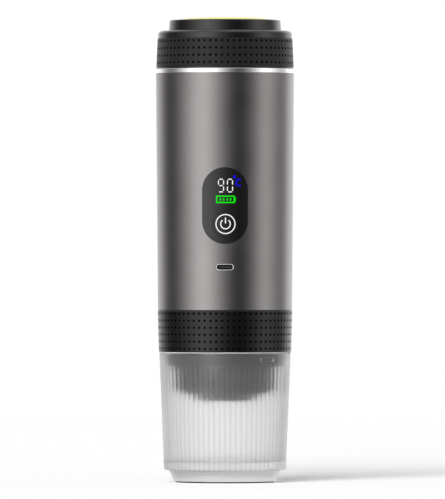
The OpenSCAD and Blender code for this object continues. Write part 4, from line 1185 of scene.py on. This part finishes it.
@dataclass
class BrewHead:
    """The brew head's finer parts: grip, collar thread, chamber, its sleeve and the seal's lip."""

    grip: DimpledBand = field(default_factory=lambda: DimpledBand(
        name="brew_grip", body="brew_head", node="brew_grip_band", low=66.7, high=86.4,
        low_radius=33.56, high_radius=34.13, first_row=67.9, row_pitch=3.53, rows=6,
    ))
    thread: Thread = field(default_factory=lambda: Thread(
        "collar_thread", BLACK_ABS, radius=29.6, foot=77.2, lead=45.0, turns=0.15,
    ))
    chamber_foot: float = 41.2
    chamber_top: float = 72.1
    chamber_radius: float = 25.0
    chamber_wall: float = 2.0
    # Distance from the wall, and height over the foot, of each step under the floor and on it.
    under_steps: tuple[Point, ...] = (
        (10.7, 0.0), (9.7, 0.4), (6.9, 2.4), (5.2, 3.1), (2.3, 3.6), (0.8, 4.6), (0.0, 6.5),
    )
    floor_steps: tuple[Point, ...] = ((0.3, 6.7), (1.2, 5.3), (10.0, 2.5))
    floor_thickness: float = 2.5
    flange_radius: float = 29.5
    flange_thickness: float = 2.2
    outlet_radius: float = 2.5
    collar_foot: float = 65.9
    sleeve: Point = (46.4, 59.85)
    sleeve_gap: float = 0.15
    # Distance from the bore, and height over the sleeve's lower end, of each point of that end.
    sleeve_foot: tuple[Point, ...] = ((0.0, 0.3), (0.4, 0.0), (1.3125, 0.5), (1.75, 2.6))
    brim_radius: float = 30.2
    brim_thickness: float = 1.2
    brim_edge: float = 0.4
    lip: Point = (65.62, 65.95)
    lip_radius: float = 33.3
    lip_width: float = 1.5
    lip_edge: Point = (0.15, 0.12)

    def collar_thread(self) -> bpy.types.Object:
        """Winds the thread in the collar's bore and seats it on the brew head.

        Returns:
            The thread.
        """
        thread = self.thread.build()
        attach(thread, "brew_head")
        return thread

    def chamber(self) -> bpy.types.Object:
        """Turns the brew chamber, a cup with a stepped floor and an outlet in its middle.

        Returns:
            The chamber, standing for its CAD node.
        """
        low, high = self.chamber_foot, self.chamber_top
        reach, inside = self.chamber_radius, self.chamber_radius - self.chamber_wall
        flange, ledge = self.flange_radius, high - self.flange_thickness
        profile = [(self.outlet_radius, low)]
        profile += [(reach - inset, low + rise) for inset, rise in self.under_steps]
        profile += [(reach, ledge), (flange, ledge), (flange, high)]
        profile += [(inside, high), (inside, self.collar_foot)]
        profile += [(inside - inset, low + rise) for inset, rise in self.floor_steps]
        profile += [(self.outlet_radius, low + self.floor_thickness)]
        piece = turned_piece("brew_chamber_dished", profile, INNER_FLATS, CHAMBER_PP)
        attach(piece, "brew_head")
        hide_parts("brew_chamber")
        return piece

    def splash_sleeve(self) -> bpy.types.Object:
        """Turns the sleeve that is pushed over the chamber from below, with a brim under the plug.

        Returns:
            The sleeve.
        """
        low, high = self.sleeve
        bore, brim = self.chamber_radius + self.sleeve_gap, self.brim_radius
        under = high - self.brim_thickness
        profile = [(bore + out, low + rise) for out, rise in self.sleeve_foot]
        profile += [(profile[-1][0], under), (brim - self.brim_edge, under)]
        profile += [(brim, under + self.brim_edge), (brim, high), (bore, high)]
        piece = turned_piece("splash_sleeve", profile, INNER_FLATS, CHAMBER_PP)
        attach(piece, "brew_head")
        return piece

    def seal_lip(self) -> bpy.types.Object:
        """Turns the seal's pale lip over the cup's rim, partly a painted highlight for its bright
        line.

        Returns:
            The lip.
        """
        low, high = self.lip
        reach, inner = self.lip_radius, self.lip_radius - self.lip_width
        in_by, up_by = self.lip_edge
        profile = [(inner, low), (reach - in_by, low), (reach, low + up_by), (reach, high)]
        profile += [(inner, high)]
        # The seal closes the gap over the rim; its pale colour is partly a painted highlight.
        piece = turned_piece("cup_seal_lip", profile, TRIM_FLATS, SILICONE)
        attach(piece, "brew_head")
        return piece

    def build(self) -> list[bpy.types.Object]:
        """Makes the grip, the thread, the chamber, its sleeve and the seal's lip.

        Returns:
            The pieces.
        """
        thread = self.collar_thread()
        return [self.grip.build(), thread, self.chamber(), self.splash_sleeve(), self.seal_lip()]


@dataclass
class Body:
    """The anodised body: a tube with two openings, a polished neck ring and two threads."""

    low: float = 87.3
    high: float = 207.1
    low_radius: float = 34.0
    high_radius: float = 35.0
    wall: float = 1.2
    edge: float = 0.1
    wall_steps: int = 6
    window: Point = (23.0, 38.6)
    window_height: float = 140.0
    port: Point = (9.14, 3.46)
    port_height: float = 109.0
    # Distances from the axis between which the openings are cut.
    opening_reach: Point = (20.0, 45.0)
    ring_high: float = 209.3
    ring_inner: float = 29.9
    ring_rounds: Point = (0.12, 0.15)
    neck: Thread = field(default_factory=lambda: Thread(
        "neck_thread", BLACK_ABS, radius=29.9, foot=210.6, lead=30.0, turns=0.25,
    ))
    spigot: Thread = field(default_factory=lambda: Thread(
        "spigot_thread", BLACK_ABS, radius=28.4, foot=76.4, lead=45.0, turns=0.15,
    ))

    def radius(self, height: float) -> float:
        """Returns the tube's outer radius at a height."""
        return mix(self.low_radius, self.high_radius, (height - self.low) / (self.high - self.low))

    def front(self, across: float, height: float, lift: float) -> Vector:
        """Returns a point over the front of the tube, in metres."""
        reach = self.radius(height) + lift
        return Vector((across, -math.sqrt(reach * reach - across * across), height)) * MM

    def tube(self) -> bpy.types.Object:
        """Turns the tube and cuts its window and its charging port.

        Returns:
            The tube, standing for its CAD node.
        """
        low, high, edge = self.low, self.high, self.edge
        shares = [at / self.wall_steps for at in range(self.wall_steps + 1)]
        steps = [mix(low + edge, high - edge, share) for share in shares]
        profile = [(self.radius(low) - edge, low)]
        profile += [(self.radius(height), height) for height in steps]
        profile += [(self.radius(high) - edge, high), (self.radius(high) - self.wall, high)]
        profile += [(self.radius(low) - self.wall, low)]
        piece = turned_piece("body_tube_anodised", profile, OUTER_FLATS, ANODISED)
        openings = ((self.window, self.window_height), (self.port, self.port_height))
        for (width, height), centre in openings:
            outline = stadium(width, height, min(width, height) / 2 - FLAT_MM, steps=16)
            combine(piece, radial_block(outline, centre, 0.0, *self.opening_reach))
        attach(piece, "housing")
        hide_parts("body_tube")
        return piece

    def neck_ring(self) -> bpy.types.Object:
        """Turns the polished ring between the tube and the lid, with rolled edges.

        Returns:
            The ring, standing for its CAD node.
        """
        low, high, reach = self.high, self.ring_high, self.high_radius
        under, over = self.ring_rounds
        profile = [(self.ring_inner, low)]
        profile += arc((reach - under, low + under), under, -90.0, 0.0, steps=3)
        profile += arc((reach - over, high - over), over, 0.0, 90.0, steps=3)
        profile += [(self.ring_inner, high)]
        piece = turned_piece("neck_ring_polished", profile, OUTER_FLATS, POLISHED)
        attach(piece, "housing")
        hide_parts("neck_ring")
        return piece

    def threads(self) -> list[bpy.types.Object]:
        """Winds the threads of the neck and of the spigot under the tube.

        Returns:
            Both threads.
        """
        pieces = [self.neck.build(), self.spigot.build()]
        for piece in pieces:
            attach(piece, "housing")
        return pieces

    def build(self) -> list[bpy.types.Object]:
        """Makes every piece of the body, with its port and its display.

        Returns:
            The pieces.
        """
        shell = [self.tube(), self.neck_ring()]
        return [*shell, *Port(self).build(), *Display(self).build(), *self.threads()]


@dataclass
class Port:
    """The charging port: a drawn shell with a rolled lip, a dark socket and gilt contacts."""

    body: Body
    gap: float = 0.1
    # Inset from the outline, and depth under the tube's face, of each ring of points.
    shell_rings: tuple[Point, ...] = (
        (0.0, 8.8), (0.0, 0.1), (0.06, -0.05), (0.19, -0.1), (0.32, -0.05), (0.38, 0.12),
        (0.38, 8.8),
    )
    socket_rings: tuple[Point, ...] = ((0.36, 7.6), (0.36, 0.45), (0.52, 0.45), (0.52, 7.0))
    tongue: Point = (6.7, 0.7)
    tongue_depths: Point = (7.0, 1.7)
    contacts: int = 12
    contact_pitch: float = 0.5
    contact_size: tuple[float, float, float] = (0.26, 0.06, 3.6)
    contact_reach: float = 30.2

    def ring(
        self,
        shape: bmesh.types.BMesh,
        size: Point,
        inset: float,
        depth: float,
    ) -> list[bmesh.types.BMVert]:
        """Lays a round-ended ring of points under the tube's face.

        Args:
            shape: The shape that gets the points.
            size: Width and height of the outline before it is inset.
            inset: How far the ring lies inside that outline.
            depth: How far it lies under the tube's face.

        Returns:
            The points in order.
        """
        width, height = size[0] - 2 * inset, size[1] - 2 * inset
        outline = stadium(width, height, height / 2 - FLAT_MM, steps=8)
        middle = self.body.port_height
        return [shape.verts.new(self.body.front(x, middle + z, -depth)) for x, z in outline]

    def shell_and_socket(self) -> list[bpy.types.Object]:
        """Makes the port's drawn shell with its rolled lip, and the dark socket inside it.

        Returns:
            The shell, standing for its CAD node, and the socket.
        """
        size = (self.body.port[0] - 2 * self.gap, self.body.port[1] - 2 * self.gap)
        shell = bmesh.new()
        lip = [self.ring(shell, size, inset, depth) for inset, depth in self.shell_rings]
        for here, there in zip(lip, lip[1:] + lip[:1]):
            bridge(shell, here, there)
        socket = bmesh.new()
        pot = [self.ring(socket, size, inset, depth) for inset, depth in self.socket_rings]
        tongue = [self.ring(socket, self.tongue, 0.0, depth) for depth in self.tongue_depths]
        for stack in (pot, tongue):
            for here, there in zip(stack, stack[1:]):
                bridge(socket, here, there)
            socket.faces.new(stack[0])
            socket.faces.new(stack[-1])
        pieces = []
        for name, shape, finish, slot in (
            ("port_shell", shell, POLISHED, "stainless"),
            ("port_socket", socket, BLACK_ABS, "black_plastic"),
        ):
            piece = make_piece(name, shape, finish, merge_mm=FINE_MERGE_MM)
            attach(piece, "housing")
            pieces.append(piece)
        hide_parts("usb_port")
        return pieces

    def gilt_contacts(self) -> bpy.types.Object:
        """Lays the gilt contacts on both faces of the port's tongue.

        Returns:
            The contacts as one piece.
        """
        plan = Pattern("port_contacts")
        count = plan.size("Contacts in a row", self.contacts)
        pitch = plan.size("Contact pitch", self.contact_pitch * MM)
        tree = plan.tree
        span = plan.sum("MULTIPLY", plan.sum("SUBTRACT", count, 1.0), pitch)
        spots = add(
            tree, "GeometryNodeMeshGrid",
            {"Size X": span, "Size Y": self.tongue[1] * MM, "Vertices X": count, "Vertices Y": 2},
        ).outputs[0]
        strip = add(
            tree, "GeometryNodeMeshCube", {"Size": Vector(self.contact_size) * MM},
        ).outputs[0]
        laid = add(
            tree, "GeometryNodeInstanceOnPoints", {"Points": spots, "Instance": strip},
        ).outputs[0]
        turned_up = add(
            tree, "GeometryNodeTransform",
            {
                "Geometry": laid,
                "Translation": Vector((0.0, -self.contact_reach, self.body.port_height)) * MM,
                "Rotation": (math.radians(90.0), 0.0, 0.0),
            },
        ).outputs[0]
        piece = plan.run(turned_up, BRASS)
        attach(piece, "housing")
        return piece

    def build(self) -> list[bpy.types.Object]:
        """Makes the shell, the socket and the contacts.

        Returns:
            The pieces.
        """
        return [*self.shell_and_socket(), self.gilt_contacts()]


# Ends of the seven segments of a figure, across and up from its middle, clockwise from the top.
SEGMENTS: dict[str, tuple[Point, Point]] = {
    "a": ((-0.95, 3.18), (0.95, 3.18)),
    "b": ((1.28, 2.63), (1.28, 0.5)),
    "c": ((1.28, -0.5), (1.28, -2.63)),
    "d": ((-0.95, -3.18), (0.95, -3.18)),
    "e": ((-1.28, -0.5), (-1.28, -2.63)),
    "f": ((-1.28, 2.63), (-1.28, 0.5)),
    "g": ((-0.85, 0.0), (0.85, 0.0)),
}


@dataclass
class Display:
    """The lit marks of the window: two figures, a degree mark, a battery gauge and a power sign."""

    body: Body
    lift: float = 0.03
    # Middle of each figure, and the letters of its lit segments.
    figures: tuple[tuple[Point, str], ...] = (
        ((-2.0, 150.05), "abcdfg"), ((2.5, 150.05), "abcdef"),
    )
    figure_line: float = 0.47
    dot_centre: Point = (4.75, 154.5)
    dot_radius: float = 0.68
    letter: tuple[tuple[Point, Point], ...] = (
        ((5.78, 153.3), (5.78, 149.9)),
        ((6.6, 153.1), (8.0, 153.1)),
        ((6.6, 150.05), (8.0, 150.05)),
    )
    letter_line: float = 0.6
    case_low: Point = (-4.18, 141.55)
    case_high: Point = (4.55, 144.7)
    case_line: float = 0.66
    case_corner: float = 0.38
    pole_offset: float = 0.62
    pole_inset: float = 0.55
    pole_line: float = 0.5
    charge_spots: tuple[float, ...] = (-2.32, -0.68, 1.16, 2.8)
    charge_heights: Point = (142.5, 143.75)
    charge_line: float = 0.75
    sign_centre: Point = (0.25, 130.7)
    sign_ring: float = 4.78
    sign_arc: float = 2.42
    sign_opening: float = 38.0
    sign_line: float = 0.5
    stem_heights: Point = (134.0, 131.0)
    stem_line: float = 0.52

    def strip(
        self,
        shape: bmesh.types.BMesh,
        path: Sequence[Point],
        width: float,
        closed: bool,
    ) -> None:
        """Lays a thin strip of even width along a path on the front.

        Args:
            shape: The shape that gets the faces.
            path: Across and height of the strip's middle line.
            width: The strip's width.
            closed: Whether the strip runs back to its start.
        """
        sides: list[list[bmesh.types.BMVert]] = []
        count = len(path)
        for at, (x, z) in enumerate(path):
            before = path[at - 1] if closed or at > 0 else path[at]
            after = path[(at + 1) % count] if closed or at < count - 1 else path[at]
            way = Vector((after[0] - before[0], after[1] - before[1]))
            side = Vector((-way.y, way.x)).normalized() * (width / 2)
            corners = []
            for lift in (self.lift, -self.lift):
                corners.append(shape.verts.new(self.body.front(x + side.x, z + side.y, lift)))
                corners.append(shape.verts.new(self.body.front(x - side.x, z - side.y, lift)))
            sides.append([corners[0], corners[1], corners[3], corners[2]])
        for at in range(count if closed else count - 1):
            here = sides[at]
            there = sides[(at + 1) % count]
            for edge in range(4):
                after = (edge + 1) % 4
                shape.faces.new((here[edge], there[edge], there[after], here[after]))
        if not closed:
            shape.faces.new(sides[0])
            shape.faces.new(sides[-1])

    def bar(self, shape: bmesh.types.BMesh, start: Point, end: Point, width: float) -> None:
        """Lays a straight strip between two points, in steps that follow the curve."""
        steps = max(2, math.ceil(math.dist(start, end) / STROKE_STEP_MM))
        path = [
            (mix(start[0], end[0], at / steps), mix(start[1], end[1], at / steps))
            for at in range(steps + 1)
        ]
        self.strip(shape, path, width, closed=False)

    def dot(self, shape: bmesh.types.BMesh, centre: Point, radius: float) -> None:
        """Lays a small round disc, as a closed button of two faces and a rim."""
        points = clock_circle(centre, radius, count=24)
        front = self.body.front
        top = [shape.verts.new(front(x, z, self.lift)) for x, z in points]
        base = [shape.verts.new(front(x, z, -self.lift)) for x, z in points]
        shape.faces.new(top)
        shape.faces.new(base)
        bridge(shape, top, base)

    def numbers(self) -> bmesh.types.BMesh:
        """Lays the lit segments of both figures.

        Returns:
            Their shape.
        """
        shape = bmesh.new()
        for (x, z), lit in self.figures:
            for segment in lit:
                start, end = [(x + across, z + up) for across, up in SEGMENTS[segment]]
                self.bar(shape, start, end, self.figure_line)
        return shape

    def degree(self) -> bmesh.types.BMesh:
        """Lays the degree's dot and the square letter beside it.

        Returns:
            Their shape.
        """
        shape = bmesh.new()
        self.dot(shape, self.dot_centre, self.dot_radius)
        for start, end in self.letter:
            self.bar(shape, start, end, self.letter_line)
        return shape

    def gauge(self) -> bmesh.types.BMesh:
        """Lays the battery's case, its pole and the bars of its charge.

        Returns:
            Their shape.
        """
        shape = bmesh.new()
        (left, low), (right, high) = self.case_low, self.case_high
        corner = self.case_corner
        for height in (low, high):
            self.bar(shape, (left - corner, height), (right + corner, height), self.case_line)
        for across in (left, right):
            self.bar(shape, (across, low + corner), (across, high - corner), self.case_line)
        pole = right + self.pole_offset
        inset = self.pole_inset
        self.bar(shape, (pole, low + inset), (pole, high - inset), self.pole_line)
        foot, top = self.charge_heights
        for across in self.charge_spots:
            self.bar(shape, (across, foot), (across, top), self.charge_line)
        return shape

    def power(self) -> bmesh.types.BMesh:
        """Lays the ring round the power sign, its open circle and its stem.

        Returns:
            Their shape.
        """
        shape = bmesh.new()
        centre, opening = self.sign_centre, self.sign_opening
        ring = clock_circle(centre, self.sign_ring, count=60)
        circle = clock_arc(centre, self.sign_arc, opening, 360.0 - opening, steps=44)
        self.strip(shape, ring, self.sign_line, closed=True)
        self.strip(shape, circle, self.sign_line, closed=False)
        start, end = [(centre[0], height) for height in self.stem_heights]
        self.bar(shape, start, end, self.stem_line)
        return shape

    def build(self) -> list[bpy.types.Object]:
        """Makes the lit figures, the degree mark, the battery gauge and the power sign.

        Returns:
            One piece for each colour on the housing, and one on the button.
        """
        pieces = []
        for name, shape, finish, body in (
            ("display_figures", self.numbers(), WHITE_LIGHT, "housing"),
            ("degree_mark", self.degree(), BLUE_LIGHT, "housing"),
            ("battery_gauge", self.gauge(), GREEN_LIGHT, "housing"),
            ("power_sign", self.power(), WHITE_LIGHT, "power_button"),
        ):
            piece = make_piece(name, shape, finish, merge_mm=FINE_MERGE_MM)
            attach(piece, body)
            pieces.append(piece)
        return pieces


@dataclass
class Lid:
    """The screw lid: dark cap, dimpled grip, lime inlay and inner thread."""

    low: float = 209.4
    grip_top: float = 224.7
    shoulder: float = 229.0
    boss_top: float = 234.1
    top: float = 235.1
    low_radius: float = 34.85
    high_radius: float = 34.15
    skirt: float = 31.1
    grip_depth: float = 1.2
    foot_edge: float = 0.3
    foot_band: float = 0.7
    foot_draft: float = 0.03
    shoulder_step: float = 0.15
    shoulder_round: float = 1.9
    shoulder_drop: float = 2.3
    shoulder_sweep: float = 84.0
    boss_radius: float = 28.5
    boss_draft: float = 0.3
    boss_round: float = 0.8
    disc_radius: float = 24.5
    disc_gap: float = 0.1
    disc_edge: float = 0.2
    seat_depth: float = 1.5
    seat_thickness: float = 1.6
    hollow_radii: Point = (26.1, 29.1)
    hollow_drop: float = 3.0
    # Share of the disc that is flat, and the shares of its radius at which the dome has points.
    dome_flat: float = 0.6
    dome_shares: tuple[float, ...] = (0.99, 0.96, 0.92, 0.87, 0.81, 0.74, 0.66, 0.58, 0.4, 0.2)
    grip: DimpledBand = field(default_factory=lambda: DimpledBand(
        name="lid_grip", body="lid", node="lid_grip_band", low=210.2, high=224.6,
        low_radius=34.81, high_radius=34.15, first_row=212.3, row_pitch=3.63, rows=4,
        finish=LID_RUBBER,
    ))

    def inner_thread(self) -> bpy.types.Object:
        """Winds the thread inside the skirt and seats it on the lid.

        Returns:
            The thread.
        """
        thread = Thread(
            "lid_thread", LID_ABS, radius=self.skirt, foot=213.1, lead=30.0, turns=0.2,
        ).build()
        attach(thread, "lid")
        return thread

    def cap(self) -> bpy.types.Object:
        """Turns the cap with its soft shoulder and raised boss.

        Returns:
            The cap, standing for its CAD node.
        """
        low, high, edge = self.low, self.boss_top, self.foot_edge
        band, groove = low + self.foot_band, self.low_radius - self.foot_draft
        shoulder = self.high_radius - self.shoulder_step
        bend = (shoulder - self.shoulder_round, self.shoulder - self.shoulder_drop)
        crown = (self.boss_radius - self.boss_draft - self.boss_round, high - self.boss_round)
        disc, seat = self.disc_radius + self.disc_gap, high - self.seat_depth
        under, roof = seat - self.seat_thickness, self.shoulder - self.hollow_drop
        inner, outer = self.hollow_radii
        profile = [(self.skirt, low), (self.low_radius - edge, low), (self.low_radius, low + edge)]
        profile += [(groove, band), (groove - self.grip_depth, band)]
        profile += [(self.high_radius - self.grip_depth, self.grip_top), (shoulder, self.grip_top)]
        profile += arc(bend, self.shoulder_round, 0.0, self.shoulder_sweep, steps=10)
        profile += [(self.boss_radius, self.shoulder)]
        profile += arc(crown, self.boss_round, 0.0, 90.0, steps=8)
        profile += [(disc + self.disc_edge, high), (disc, high - self.disc_edge)]
        profile += [(disc, seat), (0.0, seat), (0.0, under)]
        profile += [(inner, under), (inner, self.shoulder), (outer, roof), (self.skirt, roof)]
        piece = turned_piece("lid_cap_satin", profile, OUTER_FLATS, LID_ABS)
        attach(piece, "lid")
        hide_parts("lid_cap")
        return piece

    def inlay(self) -> bpy.types.Object:
        """Turns the shallow dome of the lime inlay.

        Returns:
            The inlay, standing for its CAD node.
        """
        reach, base = self.disc_radius, self.boss_top - self.seat_depth
        edge = self.boss_top - self.disc_edge
        drop = self.top - edge - self.disc_edge
        profile = [(0.0, base), (reach, base), (reach, edge)]
        for share in self.dome_shares:
            bend = max(0.0, (share - self.dome_flat) / (1.0 - self.dome_flat))
            profile.append((reach * share, self.top - drop * bend ** 2))
        profile.append((0.0, self.top))
        piece = turned_piece("lid_inlay_lime", profile, TRIM_FLATS, LIME_ABS)
        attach(piece, "lid")
        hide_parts("lid_top_disc")
        return piece

    def build(self) -> list[bpy.types.Object]:
        """Makes every piece of the lid.

        Returns:
            The pieces.
        """
        thread = self.inner_thread()
        return [self.cap(), self.grip.build(), self.inlay(), thread]


@dataclass
class Studio:
    """The camera of the photograph, the soft key lamp, the pale floor and the room round them."""

    distance: float = 4.5
    eye_height: float = 0.1194
    lens: float = 640.6
    sensor: float = 36.0
    far_end: float = 20.0
    frame_width: int = 445
    frame_height: int = 499
    axis_pixel: float = 225.0
    horizon_pixel: float = 246.5
    key_angle: float = -22.5
    key_elevation: float = 24.0
    key_width: float = 42.0
    key_strength: float = 4.2
    ambient: float = 0.42
    floor_radius: float = 1.6
    floor_flats: int = 96
    floor_paper: float = 0.95
    floor_lift: float = 0.08
    room_strength: float = 2.3
    ceiling: float = 0.65
    # Upward part of a direction at which the ceiling begins, and at which it is whole.
    ceiling_range: Point = (0.35, 0.85)
    # Brightness of the room by direction, in degrees from the front towards the right.
    bands: tuple[Point, ...] = (
        (-180.0, 0.5), (-150.0, 0.5), (-136.0, 0.47), (-120.0, 0.17), (-106.0, 0.075),
        (-93.0, 0.11), (-83.0, 0.21), (-70.0, 0.41), (-58.0, 0.66), (-47.0, 0.87), (-36.0, 0.95),
        (-25.0, 0.79), (-15.0, 0.55), (-5.0, 0.32), (5.0, 0.15), (15.0, 0.065), (26.0, 0.035),
        (36.0, 0.085), (47.0, 0.19), (58.0, 0.42), (70.0, 0.63), (80.0, 0.57), (90.0, 0.42),
        (100.0, 0.3), (112.0, 0.24), (122.0, 0.36), (136.0, 0.68), (150.0, 0.6), (180.0, 0.5),
    )

    def camera(self) -> None:
        """Sets the level camera, shifted so that the maker lands on the photograph's pixels."""
        data = bpy.data.cameras.new("camera")
        data.lens = self.lens
        data.sensor_width = self.sensor
        data.shift_x = (self.frame_width / 2 - self.axis_pixel) / self.frame_height
        data.shift_y = (self.horizon_pixel - self.frame_height / 2) / self.frame_height
        data.clip_end = self.far_end
        camera = bpy.data.objects.new("camera", data)
        camera.location = (0.0, -self.distance, self.eye_height)
        camera.rotation_euler = (math.radians(90.0), 0.0, 0.0)
        bpy.context.scene.collection.objects.link(camera)
        bpy.context.scene.camera = camera

    def key_lamp(self) -> None:
        """Sets the broad soft lamp at the front left, which throws the shadow to the right."""
        data = bpy.data.lights.new("key", "SUN")
        data.energy = self.key_strength
        data.angle = math.radians(self.key_width)
        lamp = bpy.data.objects.new("key", data)
        tilt, turn = math.radians(90.0 - self.key_elevation), math.radians(self.key_angle)
        lamp.rotation_euler = (tilt, 0.0, turn)
        lamp.visible_glossy = False
        bpy.context.scene.collection.objects.link(lamp)

    def floor(self) -> bpy.types.Object:
        """Lays the white floor, which keeps the shadow.

        Returns:
            The floor.
        """
        shape = bmesh.new()
        bmesh.ops.create_circle(
            shape, cap_ends=True, segments=self.floor_flats, radius=self.floor_radius,
        )
        mesh = bpy.data.meshes.new("floor")
        shape.to_mesh(mesh)
        shape.free()
        material = bpy.data.materials.new("floor_white_paper")
        material.use_nodes = True
        tree = material.node_tree
        tree.nodes.clear()
        light = add(tree, "ShaderNodeLightPath").outputs
        seen = maths(tree, "MAXIMUM", light["Is Camera Ray"], light["Is Transmission Ray"])
        lift = maths(tree, "MULTIPLY", seen, self.floor_lift)
        paper = add(tree, "ShaderNodeBsdfDiffuse", {"Color": grey(self.floor_paper)})
        glow = add(tree, "ShaderNodeEmission", {"Strength": lift})
        both = add(tree, "ShaderNodeAddShader", {0: paper.outputs[0], 1: glow.outputs[0]})
        add(tree, "ShaderNodeOutputMaterial", {"Surface": both.outputs[0]})
        mesh.materials.append(material)
        floor = bpy.data.objects.new("floor", mesh)
        floor.visible_glossy = False
        bpy.context.scene.collection.objects.link(floor)
        return floor

    def room(self, tree: bpy.types.NodeTree) -> bpy.types.NodeSocket:
        """Draws the soft boxes and dark gaps round the maker, under an even ceiling.

        Args:
            tree: The world's nodes.

        Returns:
            The room's colour in each direction.
        """
        way = add(tree, "ShaderNodeTexCoord").outputs["Generated"]
        axes = add(tree, "ShaderNodeSeparateXYZ", {0: way}).outputs
        angle = maths(tree, "ARCTAN2", axes[0], maths(tree, "MULTIPLY", axes[1], -1.0))
        share = maths(tree, "MULTIPLY_ADD", angle, 1.0 / FULL_TURN, 0.5)
        walls = add(tree, "ShaderNodeValToRGB", {"Fac": share})
        stops = walls.color_ramp.elements
        for degrees, level in self.bands[1:-1]:
            stops.new(degrees / 360.0 + 0.5).color = grey(level)
        for stop, (_, level) in ((stops[0], self.bands[0]), (stops[-1], self.bands[-1])):
            stop.color = grey(level)
        over = add(
            tree, "ShaderNodeMapRange",
            {
                "Value": axes[2],
                "From Min": self.ceiling_range[0], "From Max": self.ceiling_range[1],
            },
        )
        return add(
            tree, "ShaderNodeMix",
            {0: over.outputs[0], 6: walls.outputs[0], 7: grey(self.ceiling)}, data_type="RGBA",
        ).outputs[2]

    def world(self) -> None:
        """Hangs a white backdrop, with the room round it for the metal to reflect."""
        world = bpy.data.worlds.new("studio")
        world.use_nodes = True
        bpy.context.scene.world = world
        tree = world.node_tree
        tree.nodes.clear()
        light = add(tree, "ShaderNodeLightPath").outputs
        room, fill, white = [
            add(tree, "ShaderNodeBackground", {"Color": colour, "Strength": strength}).outputs[0]
            for colour, strength in (
                (self.room(tree), self.room_strength), (grey(1.0), self.ambient), (grey(1.0), 1.0),
            )
        ]
        straight = maths(tree, "LESS_THAN", light["Diffuse Depth"], 0.5)
        through = maths(tree, "MULTIPLY", light["Is Transmission Ray"], straight)
        seen = maths(tree, "MAXIMUM", light["Is Camera Ray"], through)
        shiny = add(
            tree, "ShaderNodeMixShader", {0: light["Is Glossy Ray"], 1: fill, 2: room},
        ).outputs[0]
        whole = add(tree, "ShaderNodeMixShader", {0: seen, 1: shiny, 2: white}).outputs[0]
        add(tree, "ShaderNodeOutputWorld", {"Surface": whole})

    def build(self) -> None:
        """Sets up the view, the light and the floor."""
        bpy.context.scene.view_settings.view_transform = "Standard"
        self.camera()
        self.key_lamp()
        self.floor()
        self.world()


def dress_nodes() -> None:
    """Gives every CAD node the finish of the slot that its part is recorded under."""
    for name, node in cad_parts.items():
        for at, old in enumerate(node.data.materials):
            slot = old.name.split(".")[0] if old is not None else "black_plastic"
            finish = NODE_FINISH.get(name, SLOT_FINISH.get(slot, BLACK_ABS))
            node.data.materials[at] = finish.build()
        LOG.info("dressed %s", name)


def main() -> None:
    """Builds the studio and every sub-assembly in order."""
    logging.basicConfig(level=logging.INFO, format="%(name)s %(message)s")
    Studio().build()
    dress_nodes()
    for part in (Cup(), BrewHead(), Body(), Lid()):
        for piece in part.build():
            LOG.info("%s built, %d faces", piece.name, len(piece.data.polygons))


if __name__ == "__main__":
    main()
